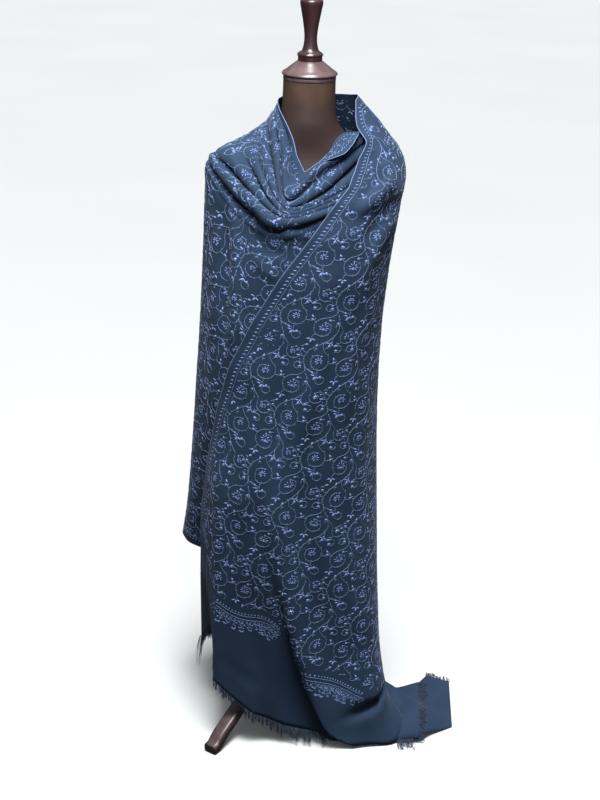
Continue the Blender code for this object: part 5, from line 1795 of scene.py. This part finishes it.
def end_lines(gap):
    """The lines on the grid at a distance below the ground on the front, beside the lap."""
    columns = np.arange(RIGHT, LAST_COLUMN + 1)
    starts = [np.interp(END_ROWS[c], np.arange(LAST_ROW + 1), DOWN[:, c]) for c in columns]
    line = np.array([[row_at(c, start + gap) for c, start in zip(columns, starts)], columns])
    return [line[:, np.isin(columns, part)] for part in seen_beside_lap(columns)]


# %% Stitches of the borders
TICK_WIDTH, FINE_LINE, SPRAY_STEM = 0.0032, 0.0012, 0.0008


def tick_row(work, line, pitch=0.0092, length=0.0108, slant=60.0, side=1.0, flat=FLAT):
    for place, heading in zip(*flat_line(*line, pitch, flat)):
        way = heading + side * slant
        work.leaf(place - 0.5 * length * direction(way), way, length, TICK_WIDTH, 0.85)


def fine_line(work, line):
    places, _ = flat_line(*line, 0.0050)
    for i in range(0, len(places) - 1, 12):
        work.line(places[i:i + 13], FINE_LINE, 0.2, taper=1.0)


SPRAY_LEAVES = ((0.22, 52.0, 0.30), (0.34, -56.0, 0.32), (0.52, 44.0, 0.26), (0.62, -46.0, 0.26))
SPRAY_SIZES, SPRAY_TURNS = (0.0270, 0.0190, 0.0240, 0.0170, 0.0290, 0.0200), \
    (7.0, -9.0, -3.0, 12.0, 0.0)


def spray(work, place, heading, size, turn):
    """A small spray that hangs from the end border: a bent stem, leaves and an open flower."""
    tip = place + direction(heading + turn) * size
    bend = 0.5 * (place + tip) + direction(heading + 90.0) * 0.06 * size
    work.line(np.array((place, bend, tip)), SPRAY_STEM, 0.25)
    for share, side, length in SPRAY_LEAVES:
        foot = place + (tip - place) * share
        work.leaf(foot, heading + side + turn, length * size, 0.10 * size, 0.55)
    for side in (-78.0, -38.0, 0.0, 38.0, 78.0):
        work.leaf(tip - direction(heading) * 0.10 * size, heading + turn + side, 0.27 * size,
                  0.085 * size, 0.85)


def hanging_border(work, line):
    """Sprays of uneven size side by side, with small leaves between their feet."""
    for n, (place, heading) in enumerate(zip(*flat_line(*line, 0.0088))):
        away = heading - 90.0
        spray(work, place, away, SPRAY_SIZES[n % 6], SPRAY_TURNS[n % 5])
        for k, side in enumerate((18.0, -22.0, 4.0)):
            foot = place + direction(heading) * (0.0030 + 0.0015 * k)
            work.leaf(foot + direction(away) * (0.0010 + 0.0030 * k), away + side, 0.0055,
                      0.0017, 0.55 + 0.1 * k)


def anywhere(rows, columns):
    return rows >= 0.0


borders = Stitches()
tick_row(borders, long_edge_line(TICKS_AT))
fine_line(borders, long_edge_line(TICKS_AT + 0.0075))
tick_row(borders, low_edge_line(LOW_TICKS_AT), side=-1.0)
fine_line(borders, low_edge_line(LOW_LINE_AT))
for line in end_lines(-0.0010):
    tick_row(borders, line, 0.0075, 0.0064)
for line in end_lines(0.0040) + end_lines(0.0130):
    fine_line(borders, line)
for line in end_lines(0.0150):
    hanging_border(borders, line)
needlework(CLOTH, borders.shapes, anywhere, ("needlework_borders", 0, LAST_COLUMN + 1))


# %% Stitches on the turned edge
LAPEL = ClothNet(TURNED[:, ::-1], TURNED_FLAT[:, ::-1])
on_lapel = Stitches()
lapel_columns = np.arange(2, TURNED.shape[1] - 2)


def lapel_line(share):
    """The line along the turned edge at a share of its width."""
    return np.full(len(lapel_columns), share * (TURNED_ROWS - 1)), lapel_columns


for share, length in ((0.72, 0.0062), (0.20, 0.0050)):
    tick_row(on_lapel, lapel_line(share), 0.0078, length, flat=LAPEL.flat)
for n, (place, heading) in enumerate(zip(*flat_line(*lapel_line(0.46), 0.0115, LAPEL.flat))):
    spray(on_lapel, place - direction(heading) * 0.006, heading + (35.0 if n % 2 else -35.0),
          0.0130, 4.0)
needlework(LAPEL, on_lapel.shapes, anywhere, ("needlework_lapel", 0, LAST_COLUMN + 1))


# %% The rolled long edges
FOLD_ENDS = 19              # the column where the turned edge begins


def rolled_edge(name, path, radius=0.0008):
    """A fine roll of cloth along an edge: a five-sided cord that is closed at its ends."""
    way = unit(np.gradient(path, axis=0))
    aside = unit(np.cross(way, (0.0, 0.0, 1.0)))
    up = np.cross(aside, way)
    turn = np.radians(np.arange(0, 360, 72))
    rings = (path[:, None] + radius * (np.cos(turn)[None, :, None] * aside[:, None]
                                       + np.sin(turn)[None, :, None] * up[:, None]))
    faces = [(i + k, i + (k + 1) % 5, i + 5 + (k + 1) % 5, i + 5 + k)
             for i in range(0, 5 * len(path) - 5, 5) for k in range(5)]
    faces += [(4, 3, 2, 1, 0), tuple(range(5 * len(path) - 5, 5 * len(path)))]
    piece = add_surface(name, rings.reshape(-1, 3), faces, YARN)
    set_tone(piece, np.full(5 * len(path), 0.3))
    hand_over(piece, "shawl_twill")


rolled_edge("rolled_edge_long", np.concatenate((GRID[0, FOLD_ENDS:], GRID[1:, -1])))
rolled_edge("rolled_edge_lapel", TURNED[-1])
rolled_edge("rolled_edge_low", GRID[-1, :RIGHT + 1])

# %% [markdown]
# ### Fringe
#
# At both ends of the shawl the crossing yarns were drawn out and the long yarns hang free.
# Worn yarns cling together in small locks of uneven length, so each yarn leans towards the
# middle of its lock and wanders a little on its way.

# %% Loose yarns along an edge
NAVY_YARN_DARK, NAVY_YARN_LIGHT = (0.0110, 0.0230, 0.0480), (0.0300, 0.0560, 0.1050)
YARN_SHARES = np.array((0.0, 0.25, 0.5, 0.75, 1.0))
FLOOR_GAP = 0.0006                        # the lowest that a yarn's middle lies
ROOT_DEPTH = 0.0015                       # how far a yarn begins inside the cloth's edge
PULL, LEAN, CURL, CURL_OUT = 0.95, 0.35, 0.5, 0.35      # of the lock and of the yarn's own way
chance = np.random.default_rng(23)


def frayed_finish():
    finish = Finish("frayed navy yarn", NAVY_YARN_DARK, 0.8, Sheen_Weight=0.1,
                    Specular_IOR_Level=0.12)
    streaks = finish.noise(finish.place(), 320.0, 2.0)
    return finish.finished(finish.ramp(streaks, (0.35, NAVY_YARN_DARK), (0.75, NAVY_YARN_LIGHT)))


FRAYED = frayed_finish()


def along_path(path, values, stations):
    total = line_lengths(path)
    return np.column_stack([np.interp(stations, total, values[:, axis]) for axis in range(3)])


def lock_middles(stations, size):
    """The middle of the lock that each yarn belongs to, and how long that lock is."""
    ends = np.cumsum(size * (0.5 + chance.random(int(stations[-1] / size * 2) + 4)))
    lock = np.searchsorted(ends, stations)
    middles = np.concatenate(([0.5 * ends[0]], 0.5 * (ends[1:] + ends[:-1])))
    return middles[lock], (0.65 + 0.60 * chance.random(len(ends)))[lock]


def yarn_lines(path, ways, length, spacing, lock, wander, rest=None):
    """Points of every yarn: yarns by stations by x, y, z."""
    path = np.asarray(path, float)
    ways = np.broadcast_to(np.asarray(ways, float), path.shape)
    total = np.linalg.norm(np.diff(path, axis=0), axis=1).sum()
    count = int(total / spacing)
    stations = np.sort(chance.random(count)) * total
    starts = along_path(path, path, stations)
    headings = unit(along_path(path, ways, stations))
    tangents = unit(along_path(path, np.gradient(path, axis=0), stations))
    across = np.cross(headings, tangents)
    middles, lengths = lock_middles(stations, lock)
    lengths = length * lengths * (0.80 + 0.35 * chance.random(count))
    pull = (middles - stations) * PULL
    lean = wander * length * chance.standard_normal(count)
    curl = wander * length * chance.standard_normal((count, 2))
    points = []
    for share in YARN_SHARES:
        wave = math.sin(math.pi * share)
        sideways = pull * share ** 0.8 + LEAN * lean * share ** 2 + CURL * curl[:, 0] * wave
        outwards = CURL_OUT * curl[:, 1] * share
        points.append(starts - headings * ROOT_DEPTH * (share == 0.0) + headings
                      * (lengths * share)[:, None] + tangents * sideways[:, None]
                      + across * outwards[:, None])
    points = np.stack(points, axis=1)
    if rest is not None:
        settle = ramp(YARN_SHARES, 0.0, 0.4)[None, :]
        ground = np.array([[rest(x, y) for x, y in line] for line in points[..., :2]])
        ground += FLOOR_GAP * chance.random(count)[:, None]
        points[..., 2] += (ground - points[..., 2]) * settle
    points[..., 2] = np.maximum(points[..., 2], FLOOR_GAP)
    return points


def yarn_mesh(name, lines, replaced, thick=0.00042, thin=0.00020):
    """Three-sided yarns, closed at both ends, in one mesh."""
    count, stations = lines.shape[:2]
    way = unit(np.gradient(lines, axis=1))
    aside = unit(np.cross(way, (0.31, 0.52, 0.79)))
    up = np.cross(aside, way)
    radius = np.interp(YARN_SHARES, (0.0, 1.0), (thick, thin))[None, :, None]
    rings = np.stack([lines + radius * (math.cos(turn) * aside + math.sin(turn) * up)
                      for turn in np.radians((0.0, 120.0, 240.0))], axis=2)
    faces = []
    for start in range(0, 3 * count * stations, 3 * stations):
        last = start + 3 * (stations - 1)
        faces += [(low + j, low + k, low + 3 + k, low + 3 + j)
                  for low in range(start, last, 3) for j, k in SIDES]
        faces += [(start + 2, start + 1, start), (last, last + 1, last + 2)]
    piece = add_surface(name, rings.reshape(-1, 3), faces, FRAYED)
    hand_over(piece, "fringe", replaced)


def on_lower_layer(x, y):
    return CAD_CLOTH / 2 + max(leg_top(x, y), 0.0) + 0.5 * THREAD + 0.0007


def on_floor(x, y):
    return 0.0009


# %% The fringes
HEM = GRID[-1]
SEEN_HEM = HEM[[c for c in range(RIGHT, RIDGE + 1) if HEM[c, 0] < 0.080][::-1]]
outwards = ramp(0.060 - SEEN_HEM[:, 2], 0.0, 0.045)
SEEN_HEM_WAYS = np.column_stack((0.10 * outwards, -0.9 * outwards, -1.0 + 0.75 * outwards))
CORNER_LOCK = HEM[-1] + np.array(((-0.004, 0.0, 0.0), (0.003, -0.008, 0.0)))
FRINGES = (
    # piece, node, and for each run of yarns: path, way, length, spacing, lock, wander, rest
    ("frayed_hem", "fringe_front_hem", (SEEN_HEM, SEEN_HEM_WAYS, 0.0230, 0.00050, 0.0085, 0.20)),
    ("frayed_corner", "fringe_turned_corner",
     (HEM[RIDGE:], (-0.05, 0.05, -1.0), 0.0240, 0.00060, 0.0060, 0.16),
     (CORNER_LOCK, (-0.10, 0.14, -1.0), 0.0800, 0.00050, 0.004, 0.10)),
    ("frayed_floor_end", "fringe_tail_end",
     (TAIL_UPPER[:, -1], (1.0, 0.0, 0.0), 0.0170, 0.00045, 0.0080, 0.40, on_lower_layer)),
    ("frayed_floor_back", "fringe_tail_back",
     (TAIL_LOWER[0, 4 * FINE:], (0.1, 1.0, 0.0), 0.0150, 0.00050, 0.0060, 0.25, on_floor)),
    ("frayed_floor_front", "fringe_floor_front",
     (TAIL_UPPER[-1, :6 * FINE], (0.15, -1.0, -0.05), 0.0200, 0.00060, 0.0080, 0.30, on_floor)),
)
for name, replaced, *runs in FRINGES:
    yarn_mesh(name, np.concatenate([yarn_lines(*run) for run in runs]), replaced)

# %% [markdown]
# ## Closing
#
# A helper gives the corners of a box as plain numbers.


def corners(box):
    return [[float(value) for value in corner] for corner in box]
